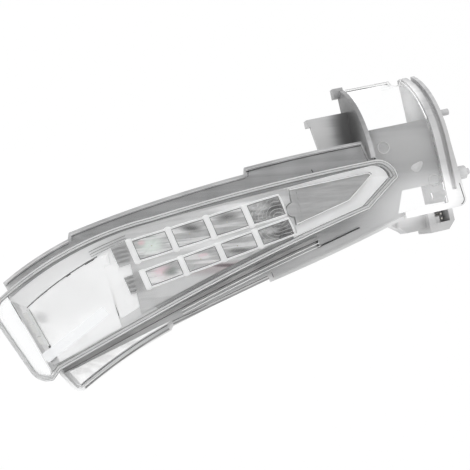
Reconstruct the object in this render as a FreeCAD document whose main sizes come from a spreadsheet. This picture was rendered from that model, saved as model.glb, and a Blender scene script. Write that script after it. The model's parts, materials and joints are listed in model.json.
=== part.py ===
import FreeCAD, Part
import math
import os
from types import SimpleNamespace

import Sketcher

# Door mirror turn signal lamp
# X runs along the lamp from its wrapped outer tip to the wing, Z runs up across it,
# and the lens looks towards -Y. The origin is the mouth of the main screw boss at the back.
# A level is a distance in front of the back plane, so a level of 5 lies at y = -5.

Vector = FreeCAD.Vector

SIZE_TABLE = {
    # Bend of the whole lamp round the end of the mirror, seen from above
    "bend_start": (-35.0, "x where the straight part ends"),
    "face_bend": (110.0, "radius of the bend at the lens face"),
    "back_bend": (120.0, "radius of the bend at the back plane"),
    # Levels in front of the back plane
    "face_level": (32.0, "front of the lens dome"),
    "flange_level": (24.0, "front of the housing flange, where the lens is seated"),
    "flange_wall": (2.0, "thickness of the housing flange"),
    "lens_wall": (2.0, "thickness of the clear lens"),
    "tray_wall": (1.8, "wall and floor of the housing tray"),
    "seat_gap": (0.15, "clearance between the lens and what it covers"),
    "draw_depth": (60.0, "half of the reach of a cut along the mould's draw"),
    "reach_margin": (3.0, "how far the cutting bodies reach past the lamp's left end"),
    "reach_right": (130.0, "right limit of the cutting bodies, x"),
    "reach_height": (80.0, "upper and lower limit of the cutting bodies"),
    # Outline of the housing flange, seen from the front
    "flange_left_x": (-99.5, "upper left corner, x"),
    "flange_left_z": (1.5, "upper left corner, z"),
    "upper_step_x": (-68.0, "first step of the upper edge, x"),
    "upper_step_z": (13.5, "upper edge left of the first step, z"),
    "upper_step_rise": (2.6, "height of the first step"),
    "strip_x": (11.0, "left end of the raised strip, x"),
    "strip_z": (24.8, "upper edge left of the raised strip, z"),
    "strip_rise": (2.8, "height of the raised strip"),
    "strip_end_x": (66.0, "right end of the raised strip, x"),
    "strip_end_z": (28.5, "right end of the raised strip, z"),
    "wing_right_x": (106.0, "right edge of the flange at the wing, x"),
    "foot_run": (1.6, "how far the lower right corner stands right of the wing's edge"),
    "foot_z": (-9.3, "lower edge below the wing, z"),
    "foot_radius": (3.6, "radius of the lower right corner"),
    "foot_left_x": (78.0, "where the lower edge starts to fall away, x"),
    "lower_step_x": (12.4, "step of the lower edge, x"),
    "lower_step_z": (-23.2, "lower edge right of the step, z"),
    "lower_step_rise": (2.2, "height of the lower step"),
    "lower_notch_x": (-33.0, "second step of the lower edge, x"),
    "lower_notch_z": (-32.0, "lower edge right of the second step, z"),
    "lower_notch_drop": (1.5, "height of the second step"),
    "lower_tip_x": (-75.0, "lower left end of the flange, x"),
    "lower_tip_z": (-50.5, "lower left end of the flange, z"),
    "lower_tip_radius": (4.0, "radius of the lower left corner"),
    "lower_end_x": (-83.5, "inner corner of the lower left end, x"),
    "lower_end_z": (-42.0, "inner corner of the lower left end, z"),
    "upper_left_bow": (153.0, "radius of the upper edge left of its step"),
    "upper_bow": (675.0, "radius of the upper edge between its steps"),
    "lower_bow": (900.0, "radius of the lower edge between its steps"),
    "lower_left_bow": (190.0, "radius of the lower edge left of its notch"),
    # Outline of the raised lens dome, seen from the front
    "dome_left_x": (-101.5, "upper left corner of the dome, x"),
    "dome_left_z": (-4.6, "upper left corner of the dome, z"),
    "dome_join_x": (-33.2, "join of the two upper arcs, x"),
    "dome_join_z": (14.9, "join of the two upper arcs, z"),
    "dome_left_bow": (147.0, "radius of the left upper arc"),
    "dome_bow": (950.0, "radius of the right upper arc"),
    "nose_x": (66.5, "start of the nose's round tip, x"),
    "nose_z": (18.9, "start of the nose's round tip, z"),
    "nose_tip_x": (76.2, "end of the nose's round tip, x"),
    "nose_tip_z": (9.2, "end of the nose's round tip, z"),
    "nose_radius": (9.3, "radius of the nose's round tip"),
    "nose_low_x": (60.5, "foot of the nose's slanted edge, x"),
    "nose_low_z": (-1.6, "foot of the nose's slanted edge, z"),
    "dome_low_x": (-82.0, "lower left end of the dome's lower edge, x"),
    "dome_low_z": (-39.0, "lower left end of the dome's lower edge, z"),
    "dome_low_bow": (1000.0, "radius of the dome's lower edge"),
    "tip_low_x": (-86.0, "bottom of the clear tip, x"),
    "tip_low_z": (-42.8, "bottom of the clear tip, z"),
    "tip_side_x": (-94.5, "lower end of the clear tip's side, x"),
    "tip_side_z": (-38.6, "lower end of the clear tip's side, z"),
    "tip_round": (9.0, "radius of the clear tip's lower corner"),
    "tip_top_x": (-105.4, "upper end of the clear tip's side, x"),
    "tip_top_z": (-13.5, "upper end of the clear tip's side, z"),
    "tip_top_round": (10.0, "radius of the clear tip's upper corner"),
    "rim_width": (1.3, "width of the raised rim round the dome"),
    "rim_height": (0.7, "height of the raised rim above the face"),
    "lens_inset": (1.6, "distance from the housing flange's edge to the lens flange"),
    "tray_inset": (1.2, "distance from the dome's edge to the housing tray"),
    "tray_end_top_x": (-97.5, "upper end of the tray's left wall, x"),
    "tray_end_low_x": (-86.5, "lower end of the tray's left wall, x"),
    # Wing
    "wing_left_x": (70.0, "left edge of the clear window, x"),
    "right_rim_width": (7.0, "width of the wing's right rim"),
    "wing_bend_z": (20.0, "height where the window starts to bend back"),
    "wing_bend": (38.0, "outer radius of the window"),
    "wing_top_z": (54.5, "top edge of the window"),
    "wing_wall": (2.0, "thickness of the wing's side walls"),
    "wing_proud": (1.0, "height of the wing's rims in front of the window"),
    "crease_z": (33.2, "top edge of the backing wall"),
    "backing_low_z": (3.2, "lower edge of the backing wall, z"),
    "window_low_z": (-6.5, "lower edge of the window's clear field, z"),
    "window_left_x": (75.5, "left edge of the window's lower clear field, x"),
    "window_lean": (4.0, "how far that edge leans to the right"),
    "backing_wall": (1.8, "thickness of the backing wall"),
    "rim_groove_inset": (4.0, "distance from the wing's right edge to the rim's groove"),
    "rim_groove_low_z": (-1.2, "lower end of the groove in the right rim, z"),
    "rim_groove": (2.2, "width of the groove in the right rim"),
    "rim_groove_depth": (2.0, "depth of the groove in the right rim"),
    "rim_depth": (5.0, "depth of the right rim"),
    # Wing window details
    "slot_inset": (13.5, "distance from the wing's right edge to the slot's left end"),
    "slot_low_z": (-3.2, "lower edge of the slot, z"),
    "slot_length": (7.6, "length of the slot, open at the window's edge"),
    "slot_height": (2.5, "height of the slot"),
    "notch_inset": (11.0, "distance from the wing's right edge to the window's top notch"),
    "notch_radius": (3.0, "radius of the half round notch in the window's top edge"),
    # Fixing bosses at the back
    "boss_radius": (3.6, "outer radius of a fixing boss"),
    "boss_bore": (1.35, "radius of a fixing boss's hole"),
    "outer_boss_rise": (1.6, "height of the outer boss behind the bent back"),
    "boss_bore_depth": (5.8, "depth of a fixing boss's hole"),
    "boss_floor": (1.4, "floor of a fixing boss under its hole"),
    "outer_boss_x": (-66.0, "outer fixing boss, x"),
    "outer_boss_z": (-14.0, "outer fixing boss, z"),
    "pillar_radius": (2.6, "radius of a board pillar in the tray"),
    "left_pillar_x": (-46.6, "left board pillar, x"),
    "left_pillar_z": (-5.5, "left board pillar, z"),
    "right_pillar_x": (31.5, "right board pillar, x"),
    "right_pillar_z": (5.0, "right board pillar, z"),
    "board_screw_bore": (0.9, "radius of a board screw's hole"),
    # Locating pins at the right
    "pin_radius": (1.5, "radius of a locating pin"),
    "upper_pin_length": (4.6, "length of the upper pin past the wing's right edge"),
    "lower_pin_length": (8.2, "length of the lower pin past the wing's right edge"),
    "pin_collar": (3.1, "radius of the lower pin's collar"),
    "pin_collar_length": (6.2, "length of the lower pin's collar"),
    "lower_pin_z": (5.5, "height of the lower pin"),
    "upper_pin_z": (34.0, "height of the upper pin"),
    "pin_level": (21.0, "level of both pins"),
    # Bracket plate with its hook, left of the wing
    "bracket_left_x": (51.7, "left edge of the bracket plate, x"),
    "bracket_low_z": (24.5, "lower edge of the bracket plate, z"),
    "bracket_top_z": (44.4, "top edge of the bracket plate, z"),
    "bracket_level": (8.0, "front of the bracket plate"),
    "bracket_wall": (2.0, "thickness of the bracket plate"),
    "bracket_lean": (2.6, "slant of the bracket's left edge"),
    "hook_reach": (0.8, "reach of the hook past the bracket's left edge"),
    "hook_height": (3.4, "height of the hook"),
    "hook_depth": (5.0, "depth of the hook"),
    # Edge clip at the wing's upper left corner
    "clip_width": (3.0, "width of the edge clip"),
    "clip_height": (4.6, "height of the edge clip"),
    "clip_depth": (4.0, "depth of the edge clip"),
    # Connector
    "block_inset": (14.3, "distance from the wing's right edge to the block's left side"),
    "block_width": (12.4, "width of the connector block"),
    "block_low_z": (-18.6, "bottom of the connector block, z"),
    "block_front": (18.0, "level of the connector block's front"),
    "block_depth": (15.0, "depth of the connector block"),
    "block_chamfer": (3.6, "chamfer of the connector block's lower right edge"),
    "socket_width": (6.9, "width of the socket"),
    "socket_height": (5.3, "height of the socket"),
    "socket_depth": (7.5, "depth of the socket"),
    "socket_left": (3.3, "distance from the block's left side to the socket"),
    "socket_low": (3.9, "distance from the block's bottom to the socket"),
    "key_width": (2.35, "width of the socket's key"),
    "key_height": (2.9, "height of the socket's key"),
    "arm_left_x": (78.5, "left end of the cable arm, x"),
    "arm_low_z": (-16.4, "bottom of the cable arm, z"),
    "arm_chamfer": (3.5, "chamfer of the cable arm's lower left edge"),
    "arm_front": (14.0, "level of the cable arm's front"),
    "arm_depth": (9.0, "depth of the cable arm"),
    # Board
    "board_level": (9.6, "front of the circuit board"),
    "board_thickness": (1.6, "thickness of the circuit board"),
    "board_left_x": (-49.8, "left end of the board, x"),
    "board_right_x": (35.0, "right end of the board, x"),
    "board_left_top": (6.4, "upper left corner of the board, z"),
    "board_left_low": (-18.6, "lower left corner of the board, z"),
    "board_right_top": (12.6, "upper right corner of the board, z"),
    "board_right_low": (-2.9, "lower right corner of the board, z"),
    # Light cells
    "cell_left_x": (-42.2, "left wall of the first light cell, x"),
    "cell_pitch": (17.3, "length of a light cell"),
    "cell_divider": (1.6, "thickness of the wall between two cells"),
    "cell_front": (25.0, "front level of the reflector"),
    "cell_lean": (0.2, "how far the walls between cells lean, for each mm of height"),
    "upper_row_z": (6.1, "centre line of the upper row at x = 0"),
    "upper_row_slope": (0.085, "slope of the upper row"),
    "upper_row_height": (9.4, "height of the upper row's cells"),
    "lower_row_z": (-4.9, "centre line of the lower row at x = 0"),
    "lower_row_slope": (0.125, "slope of the lower row"),
    "lower_row_height": (7.6, "height of the lower row's cells"),
    "lamp_window": (5.2, "side of the hole for each light source"),
    "reflector_gap": (0.3, "clearance between the reflector and the board"),
    "cell_edge": (1.1, "wall of the reflector round the cells"),
    "cell_flare": (3.2, "how far a cell's ends lean in towards its floor"),
    "row_flare": (1.0, "how far a cell's sides lean in towards its floor"),
    "cell_floor": (1.0, "floor of a cell"),
    "trim_wall": (1.5, "thickness of the reflector's trim plate"),
    "pad_length": (7.2, "length of the ribbed pad at the outer end of a row"),
    "pad_depth": (6.0, "depth of a ribbed pad"),
    "pad_rib_pitch": (1.9, "distance between the ribs of a pad"),
    "pad_groove": (1.0, "width of the groove between two ribs"),
    "pad_groove_depth": (1.2, "depth of the groove between two ribs"),
    # Nose panel and its wavy wall at the end of the cells
    "panel_front": (25.6, "front level of the nose panel"),
    "panel_wall": (1.5, "thickness of the nose panel"),
    "panel_left_x": (28.4, "left end of the nose panel, x"),
    "panel_top_z": (14.4, "upper edge of the nose panel, z"),
    "panel_tip_x": (66.6, "tip of the nose panel, x"),
    "panel_tip_round": (1.6, "radius of the nose panel's tip"),
    "panel_knee_x": (53.8, "bend of the nose panel's lower edge, x"),
    "panel_knee_z": (3.6, "bend of the nose panel's lower edge, z"),
    "panel_low_z": (-1.6, "lower left corner of the nose panel, z"),
    "panel_rim": (0.8, "width and height of the nose panel's rim"),
    "wave_wall": (1.4, "thickness of the wavy wall"),
    "wave_depth": (11.0, "depth of the wavy wall behind the panel"),
    "wave_round": (3.0, "radius of the wavy wall's half round"),
    "wave_centre_z": (5.2, "height of the wavy wall's half round"),
    "flute_pitch": (2.6, "distance between the panel's light flutes"),
    "flute_width": (1.1, "width of a light flute"),
    "flute_height": (0.45, "height of a light flute"),
    # Diffuser and light bar at the outer end
    "diffuser_level": (24.3, "rear level of the diffuser"),
    "diffuser_wall": (1.7, "thickness of the diffuser"),
    "diffuser_top_left_z": (-11.0, "upper left corner of the diffuser, z"),
    "diffuser_right_x": (-56.0, "upper right corner of the diffuser, x"),
    "diffuser_right_z": (3.8, "upper right corner of the diffuser, z"),
    "diffuser_bow": (150.0, "radius of the diffuser's upper edge"),
    "diffuser_low_x": (-50.5, "lower right corner of the diffuser, x"),
    "diffuser_margin": (2.4, "distance from the dome's edge to the diffuser"),
    "bar_left_x": (-87.6, "left end of the light bar, x"),
    "bar_left_z": (-33.6, "left end of the light bar, z"),
    "bar_right_x": (-58.5, "right end of the light bar, x"),
    "bar_right_z": (-19.0, "right end of the light bar, z"),
    "bar_width": (4.4, "width of the light bar"),
    "bar_height": (2.6, "height of the light bar"),
    "post_radius": (2.0, "radius of a diffuser post"),
    "upper_post_x": (-58.5, "upper diffuser post, x"),
    "upper_post_z": (-9.5, "upper diffuser post, z"),
    "lower_post_x": (-62.0, "lower diffuser post, x"),
    "lower_post_z": (-24.0, "lower diffuser post, z"),
    "outer_post_x": (-78.5, "outer diffuser post, x"),
    "outer_post_z": (-24.5, "outer diffuser post, z"),
    # Board and light sources at the tip
    "tip_board_shift": (2.2, "distance from the tray's end line to the tip board"),
    "tip_board_wall": (1.2, "thickness of the tip board"),
    "tip_board_front": (28.6, "front level of the tip board"),
    "tip_board_top_z": (-12.0, "upper end of the tip board, z"),
    "tip_board_low_z": (-28.6, "lower end of the tip board, z"),
    # Parts on the back of the board
    "chip_length": (5.0, "length of a driver chip"),
    "chip_width": (4.0, "width of a driver chip"),
    "chip_height": (1.6, "height of a driver chip"),
    "resistor_length": (2.0, "length of a resistor"),
    "resistor_width": (1.25, "width of a resistor"),
    "resistor_height": (0.55, "height of a resistor"),
    "capacitor_radius": (2.0, "radius of the capacitor"),
    "capacitor_height": (4.5, "height of the capacitor"),
    "diode_length": (4.3, "length of the protection diode"),
    "diode_width": (2.6, "width of the protection diode"),
    "diode_height": (2.2, "height of the protection diode"),
    # Screws of the board
    "screw_head": (1.9, "radius of a board screw's head"),
    "screw_head_height": (1.3, "height of a board screw's head"),
    "screw_shank": (0.85, "radius of a board screw's shank"),
    "screw_length": (5.5, "length of a board screw's shank"),
    "screw_recess": (0.8, "width of the cross in a board screw's head"),
    # Wiring inside
    "lead_radius": (0.55, "radius of a lead"),
    "lead_bend": (4.0, "radius of a lead's bends"),
    "lead_end_x": (33.0, "end of the leads on the back of the board, x"),
    "lead_end_z": (-0.5, "end of the leads on the back of the board, z"),
    "lead_run_on": (1.07, "where the leads turn, as a share of the duct's slanted stretch"),
    "duct_bend_x": (81.5, "bend of the cable duct, x"),
    "duct_end_x": (59.0, "end of the cable duct in the tray, x"),
    "duct_end_z": (4.45, "end of the cable duct in the tray, z"),
    "duct_half": (3.4, "half width of the cable duct"),
    "duct_bore": (2.0, "half width of the cable duct's bore"),
    "link_width": (4.0, "width of the flat link to the tip board"),
    "link_wall": (0.3, "thickness of the flat link"),
    "link_lap": (2.5, "length of the flat link on the board"),
    "link_start_z": (2.0, "height of the flat link on the board"),
    "link_end_z": (-16.0, "height of the flat link at the tip board"),
    "link_bend": (47.1, "radius of the flat link's bend"),
    "terminal_size": (0.64, "side of a terminal"),
    "terminal_pitch": (2.2, "distance between the terminals"),
    "terminal_length": (4.0, "length of a terminal inside the socket"),
    # Vent
    "vent_x": (-18.0, "vent in the tray's floor, x"),
    "vent_z": (-8.0, "vent in the tray's floor, z"),
    "vent_bore": (1.5, "radius of the vent's hole"),
    "vent_radius": (4.0, "radius of the vent membrane"),
    "vent_wall": (0.4, "thickness of the vent membrane"),
    # Slit round the latch tongue in the lens flange
    "slit_left_x": (35.5, "left end of the latch slit, x"),
    "slit_top_z": (-8.6, "upper end of the latch slit, z"),
    "slit_low_z": (-13.4, "lower corner of the latch slit, z"),
    "slit_right_x": (56.0, "right end of the latch slit, x"),
    "slit_right_z": (-9.0, "right end of the latch slit, z"),
    "slit_width": (0.6, "width of the latch slit"),
    # Light sources
    "led_length": (3.5, "length of a light source"),
    "led_width": (2.8, "width of a light source"),
    "led_height": (1.9, "height of a light source"),
}


class Size:
    """A length that holds its number and the sheet formula that it comes from."""

    def __init__(self, number, formula):
        self.number = float(number)
        self.formula = formula

    def __add__(self, other):
        return joined(self, "+", other, self.number + plain(other))

    def __radd__(self, other):
        return joined(other, "+", self, plain(other) + self.number)

    def __sub__(self, other):
        return joined(self, "-", other, self.number - plain(other))

    def __rsub__(self, other):
        return joined(other, "-", self, plain(other) - self.number)

    def __mul__(self, other):
        return joined(self, "*", other, self.number * plain(other))

    def __rmul__(self, other):
        return joined(other, "*", self, plain(other) * self.number)

    def __truediv__(self, other):
        return joined(self, "/", other, self.number / plain(other))

    def __neg__(self):
        return Size(-self.number, "(-1 * %s)" % self.formula)

    def root(self):
        """Square root of this value."""
        return Size(math.sqrt(self.number), "sqrt(%s)" % self.formula)


def plain(value):
    """Number of a size or of a bare number."""
    return value.number if isinstance(value, Size) else float(value)


def text(value):
    """Sheet formula of a size or of a bare number."""
    return value.formula if isinstance(value, Size) else repr(float(value))


def joined(left, sign, right, number):
    """Size made of two values and the sign between them."""
    return Size(number, "(%s %s %s)" % (text(left), sign, text(right)))


doc = FreeCAD.newDocument("mirror_turn_signal")
sheet = doc.addObject("Spreadsheet::Sheet", "Sizes")
for row, (alias, (number, note)) in enumerate(SIZE_TABLE.items(), start=1):
    sheet.set("A%d" % row, alias)
    sheet.set("B%d" % row, str(number))
    sheet.set("C%d" % row, note)
    sheet.setAlias("B%d" % row, alias)
doc.recompute()
S = SimpleNamespace(**{alias: Size(sheet.get(alias), "Sizes." + alias) for alias in SIZE_TABLE})

# Places that follow from others
REACH_LEFT = S.tip_top_x - S.reach_margin
WINDOW_RIGHT_X = S.wing_right_x - S.right_rim_width
WING_FOOT_X = S.wing_right_x + S.foot_run
BLOCK_LEFT_X = S.wing_right_x - S.block_inset

# Sketch planes: FRONT holds x and z and faces -Y, ABOVE holds x and y, SIDE holds y and z
FRONT = FreeCAD.Rotation(Vector(1, 0, 0), 90)
ABOVE = FreeCAD.Rotation()
SIDE = FreeCAD.Rotation(Vector(1, 1, 1), 120)


class Outline:
    """A closed outline, walked corner by corner with straight and round stretches."""

    def __init__(self, u, v):
        self.corners = [(u, v)]
        self.bows = []

    def line(self, u, v):
        """Straight stretch to a corner."""
        self.bows.append(None)
        self.corners.append((u, v))
        return self

    def arc(self, u, v, radius, left=True):
        """Round stretch to a corner, bowed to the left or the right of the way walked."""
        self.bows.append((radius, left))
        self.corners.append((u, v))
        return self

    def close(self, radius, left=True):
        """Round stretch from the last corner back to the first."""
        self.bows.append((radius, left))
        return self


def box_outline(left, low, width, height):
    """Rectangle from its lower left corner."""
    return (Outline(left, low).line(left + width, low)
            .line(left + width, low + height).line(left, low + height))


def fill_sketch(sketch, outline):
    """Draw an outline in a sketch and tie each corner and radius to its formula."""
    corners = outline.corners
    count = len(corners)
    bows = outline.bows + [None] * (count - len(outline.bows))
    first = sketch.GeometryCount
    ends = []
    for index, (corner, bow) in enumerate(zip(corners, bows)):
        follower = corners[(index + 1) % count]
        start = Vector(plain(corner[0]), plain(corner[1]), 0)
        end = Vector(plain(follower[0]), plain(follower[1]), 0)
        if bow is None:
            sketch.addGeometry(Part.LineSegment(start, end), False)
            ends.append((1, 2))
            continue
        radius, left = bow
        chord = end - start
        leftward = Vector(-chord.y, chord.x, 0).normalize()
        rise = math.sqrt(plain(radius) ** 2 - (chord.Length / 2) ** 2)
        centre = (start + end) / 2 + leftward * (-rise if left else rise)
        circle = Part.Circle(centre, Vector(0, 0, 1), plain(radius))
        begin, finish = (end, start) if left else (start, end)
        angles = [math.atan2(p.y - centre.y, p.x - centre.x) for p in (begin, finish)]
        sketch.addGeometry(Part.ArcOfCircle(circle, *angles), False)
        ends.append((2, 1) if left else (1, 2))
    for index in range(count):
        follower = (index + 1) % count
        sketch.addConstraint(Sketcher.Constraint(
            "Coincident", first + index, ends[index][1], first + follower, ends[follower][0]))
    for index, (corner, bow) in enumerate(zip(corners, bows)):
        hold_point(sketch, first + index, ends[index][0], corner)
        if bow is not None:
            hold(sketch, bow[0], "Radius", first + index)


def hold(sketch, value, kind, *place):
    """Give a sketch a measured constraint, tied to its formula."""
    number = sketch.addConstraint(Sketcher.Constraint(kind, *place, plain(value)))
    if isinstance(value, Size):
        sketch.setExpression("Constraints[%d]" % number, value.formula)


def hold_point(sketch, geometry, end, corner):
    """Hold a point of a sketch at its two coordinates."""
    hold(sketch, corner[0], "DistanceX", geometry, end)
    hold(sketch, corner[1], "DistanceY", geometry, end)


def new_sketch(name, rotation=FRONT, level=0.0):
    """Empty sketch on a plane; a level moves it along the lamp's depth."""
    sketch = doc.addObject("Sketcher::SketchObject", name)
    sketch.Placement = FreeCAD.Placement(Vector(0, -plain(level), 0), rotation)
    if isinstance(level, Size):
        sketch.setExpression(".Placement.Base.y", (-level).formula)
    return sketch


def draw(name, outline, rotation=FRONT, level=0.0):
    """Sketch of one closed outline."""
    sketch = new_sketch(name, rotation, level)
    fill_sketch(sketch, outline)
    return sketch


def draw_path(name, corners, radius, level):
    """Sketch of an open path of straight runs, with a tangent arc at each inner corner."""
    sketch = new_sketch(name, FRONT, level)
    points = [Vector(plain(x), plain(z), 0) for x, z in corners]
    bend = plain(radius)
    start = points[0]
    runs = []
    arcs = []
    for before, corner, after in zip(points, points[1:], points[2:]):
        incoming = (corner - before).normalize()
        outgoing = (after - corner).normalize()
        reach = bend * math.tan(incoming.getAngle(outgoing) / 2)
        first = corner - incoming * reach
        last = corner + outgoing * reach
        left = incoming.cross(outgoing).z > 0
        centre = first + Vector(-incoming.y, incoming.x, 0) * (bend if left else -bend)
        angles = [math.atan2(p.y - centre.y, p.x - centre.x)
                  for p in ((first, last) if left else (last, first))]
        runs.append(sketch.addGeometry(Part.LineSegment(start, first), False))
        arcs.append((sketch.addGeometry(Part.ArcOfCircle(
            Part.Circle(centre, Vector(0, 0, 1), bend), *angles), False), left))
        start = last
    runs.append(sketch.addGeometry(Part.LineSegment(start, points[-1]), False))
    for index, (arc, left) in enumerate(arcs):
        begin, finish = (1, 2) if left else (2, 1)
        sketch.addConstraint(Sketcher.Constraint("Tangent", runs[index], 2, arc, begin))
        sketch.addConstraint(Sketcher.Constraint("Tangent", arc, finish, runs[index + 1], 1))
        hold(sketch, radius, "Radius", arc)
        mark = sketch.addGeometry(Part.Point(points[index + 1]), True)
        hold_point(sketch, mark, 1, corners[index + 1])
        sketch.addConstraint(Sketcher.Constraint("PointOnObject", mark, 1, runs[index]))
        sketch.addConstraint(Sketcher.Constraint("PointOnObject", mark, 1, runs[index + 1]))
    hold_point(sketch, runs[0], 1, corners[0])
    hold_point(sketch, runs[-1], 2, corners[-1])
    return sketch


def tube(name, corners, radius, bend, level):
    """Round rod along a path in a plane of constant level that starts along the length."""
    path = draw_path(name + "_path", corners, bend, level)
    section = new_sketch(name + "_section", SIDE)
    start_x, start_z = corners[0]
    ring = section.addGeometry(Part.Circle(
        Vector(-plain(level), plain(start_z), 0), Vector(0, 0, 1), plain(radius)), False)
    hold(section, radius, "Radius", ring)
    hold_point(section, ring, 3, (-level, start_z))
    section.Placement = FreeCAD.Placement(Vector(plain(start_x), 0, 0), SIDE)
    section.setExpression(".Placement.Base.x", start_x.formula)
    rod = doc.addObject("Part::Sweep", name)
    rod.Sections = [section]
    rod.Spine = (path, ["Edge%d" % (number + 1) for number in range(2 * len(corners) - 3)])
    rod.Solid = True
    return rod


def extrude(name, profile, direction, start, end, taper=0.0):
    """Solid swept from start to end along a direction."""
    solid = doc.addObject("Part::Extrusion", name)
    solid.Base = profile
    solid.DirMode = "Custom"
    solid.Dir = direction
    solid.Solid = True
    for prop, value in (("LengthFwd", end), ("LengthRev", -start), ("TaperAngle", taper)):
        bind(solid, prop, value)
    return solid


def bind(thing, prop, value):
    """Give a property its number, or tie it to its formula."""
    if isinstance(value, Size):
        thing.setExpression(prop, value.formula)
    else:
        setattr(thing, prop, value)


def along_depth(name, profile, rear=None, front=None):
    """Straight solid between two levels, or right through the lamp."""
    rear = -S.draw_depth if rear is None else rear
    front = S.draw_depth if front is None else front
    return extrude(name, profile, Vector(0, -1, 0), rear, front)


def along_length(name, outline, left, right):
    """Solid between two x positions from an outline of y and z."""
    return extrude(name, draw(name + "_section", outline, SIDE), Vector(1, 0, 0), left, right)


def cut(name, base, *tools):
    """Base less its tools."""
    result = doc.addObject("Part::Cut", name)
    result.Base = base
    result.Tool = tools[0] if len(tools) == 1 else fuse(name + "_tools", *tools)
    return result


def fuse(name, *pieces):
    """Pieces joined into one."""
    result = doc.addObject("Part::MultiFuse", name)
    result.Shapes = list(pieces)
    result.Refine = True
    return result


def common(name, *pieces):
    """What the pieces share."""
    result = doc.addObject("Part::MultiCommon", name)
    result.Shapes = list(pieces)
    return result


def inset(name, profile, distance):
    """The outline of a sketch moved inwards."""
    result = doc.addObject("Part::Offset2D", name)
    result.Source = profile
    result.Join = 2
    bind(result, "Value", -distance)
    return result


def group(name, *pieces):
    """Like pieces kept together as separate solids."""
    result = doc.addObject("Part::Compound", name)
    result.Links = list(pieces)
    return result


def front_radius(level):
    """Radius of the bend at a level that runs along with the lens face."""
    return S.face_bend - S.face_level + level


def back_radius(level):
    """Radius of the bend at a level that runs along with the back plane."""
    return S.back_bend + level


def bend_y(x, level, radius):
    """y of a bent surface at an x beyond the start of the bend."""
    reach = S.bend_start - x
    return radius - level - (radius * radius - reach * reach).root()


def band(name, rear, front, rear_radius=None, face_radius=None):
    """Everything between two bent surfaces, over the lamp's whole height."""
    rear_radius = front_radius(rear) if rear_radius is None else rear_radius
    face_radius = front_radius(front) if face_radius is None else face_radius
    outline = (Outline(S.reach_right, -front)
               .line(S.bend_start, -front)
               .arc(REACH_LEFT, bend_y(REACH_LEFT, front, face_radius), face_radius)
               .line(REACH_LEFT, bend_y(REACH_LEFT, rear, rear_radius))
               .arc(S.bend_start, -rear, rear_radius, left=False)
               .line(S.reach_right, -rear))
    sketch = draw(name + "_section", outline, ABOVE)
    return extrude(name, sketch, Vector(0, 0, 1), -S.reach_height, S.reach_height)


def bent(name, profile, rear, front, *more, **radii):
    """Bent solid with an outline seen from the front, between two levels."""
    return common(name, along_depth(name + "_prism", profile),
                  band(name + "_band", rear, front, **radii), *more)


def flange_outline():
    """Outer edge of the housing flange with its steps, walked clockwise."""
    return (Outline(S.flange_left_x, S.flange_left_z)
            .arc(S.upper_step_x, S.upper_step_z, S.upper_left_bow)
            .line(S.upper_step_x + 1.0, S.upper_step_z + S.upper_step_rise)
            .arc(S.strip_x, S.strip_z, S.upper_bow)
            .line(S.strip_x + 0.8, S.strip_z + S.strip_rise)
            .arc(S.strip_end_x, S.strip_end_z, S.upper_bow)
            .line(S.wing_left_x - S.wing_wall, S.wing_bend_z)
            .line(S.wing_right_x, S.wing_bend_z)
            .line(WING_FOOT_X, S.foot_z + S.foot_radius)
            .arc(WING_FOOT_X - S.foot_radius, S.foot_z, S.foot_radius)
            .line(S.foot_left_x, S.foot_z)
            .arc(S.lower_step_x, S.lower_step_z, S.lower_bow)
            .line(S.lower_step_x - 0.4, S.lower_step_z + S.lower_step_rise)
            .line(S.lower_notch_x, S.lower_notch_z)
            .line(S.lower_notch_x - 1.0, S.lower_notch_z - S.lower_notch_drop)
            .arc(S.lower_tip_x, S.lower_tip_z, S.lower_left_bow, left=False)
            .arc(S.lower_tip_x - S.lower_tip_radius, S.lower_tip_z + 1.2, S.lower_tip_radius)
            .line(S.lower_end_x, S.lower_end_z))


def dome_outline():
    """Edge of the raised dome: a leaf with a round nose and a wrapped tip."""
    return (Outline(S.dome_left_x, S.dome_left_z)
            .arc(S.dome_join_x, S.dome_join_z, S.dome_left_bow)
            .arc(S.nose_x, S.nose_z, S.dome_bow)
            .arc(S.nose_tip_x, S.nose_tip_z, S.nose_radius)
            .line(S.nose_low_x, S.nose_low_z)
            .arc(S.dome_low_x, S.dome_low_z, S.dome_low_bow, left=False)
            .line(S.tip_low_x, S.tip_low_z)
            .arc(S.tip_side_x, S.tip_side_z, S.tip_round)
            .line(S.tip_top_x, S.tip_top_z)
            .close(S.tip_top_round))


def cylinder(name, radius, length, x, y, z, rotation):
    """Cylinder bound to the sheet, with its foot at a point."""
    solid = doc.addObject("Part::Cylinder", name)
    bind(solid, "Radius", radius)
    bind(solid, "Height", length)
    solid.Placement = FreeCAD.Placement(Vector(plain(x), plain(y), plain(z)), rotation)
    for axis, value in zip("xyz", (x, y, z)):
        if isinstance(value, Size):
            solid.setExpression(".Placement.Base." + axis, value.formula)
    return solid


def box(name, x, y, z, length, width, height):
    """Box bound to the sheet, from its lowest corner."""
    solid = doc.addObject("Part::Box", name)
    for prop, value in (("Length", length), ("Width", width), ("Height", height)):
        bind(solid, prop, value)
    solid.Placement = FreeCAD.Placement(Vector(plain(x), plain(y), plain(z)), FreeCAD.Rotation())
    for axis, value in zip("xyz", (x, y, z)):
        if isinstance(value, Size):
            solid.setExpression(".Placement.Base." + axis, value.formula)
    return solid


TO_FRONT = FreeCAD.Rotation(Vector(1, 0, 0), 90)
TO_BACK = FreeCAD.Rotation(Vector(1, 0, 0), -90)
TO_RIGHT = FreeCAD.Rotation(Vector(0, 1, 0), 90)



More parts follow.
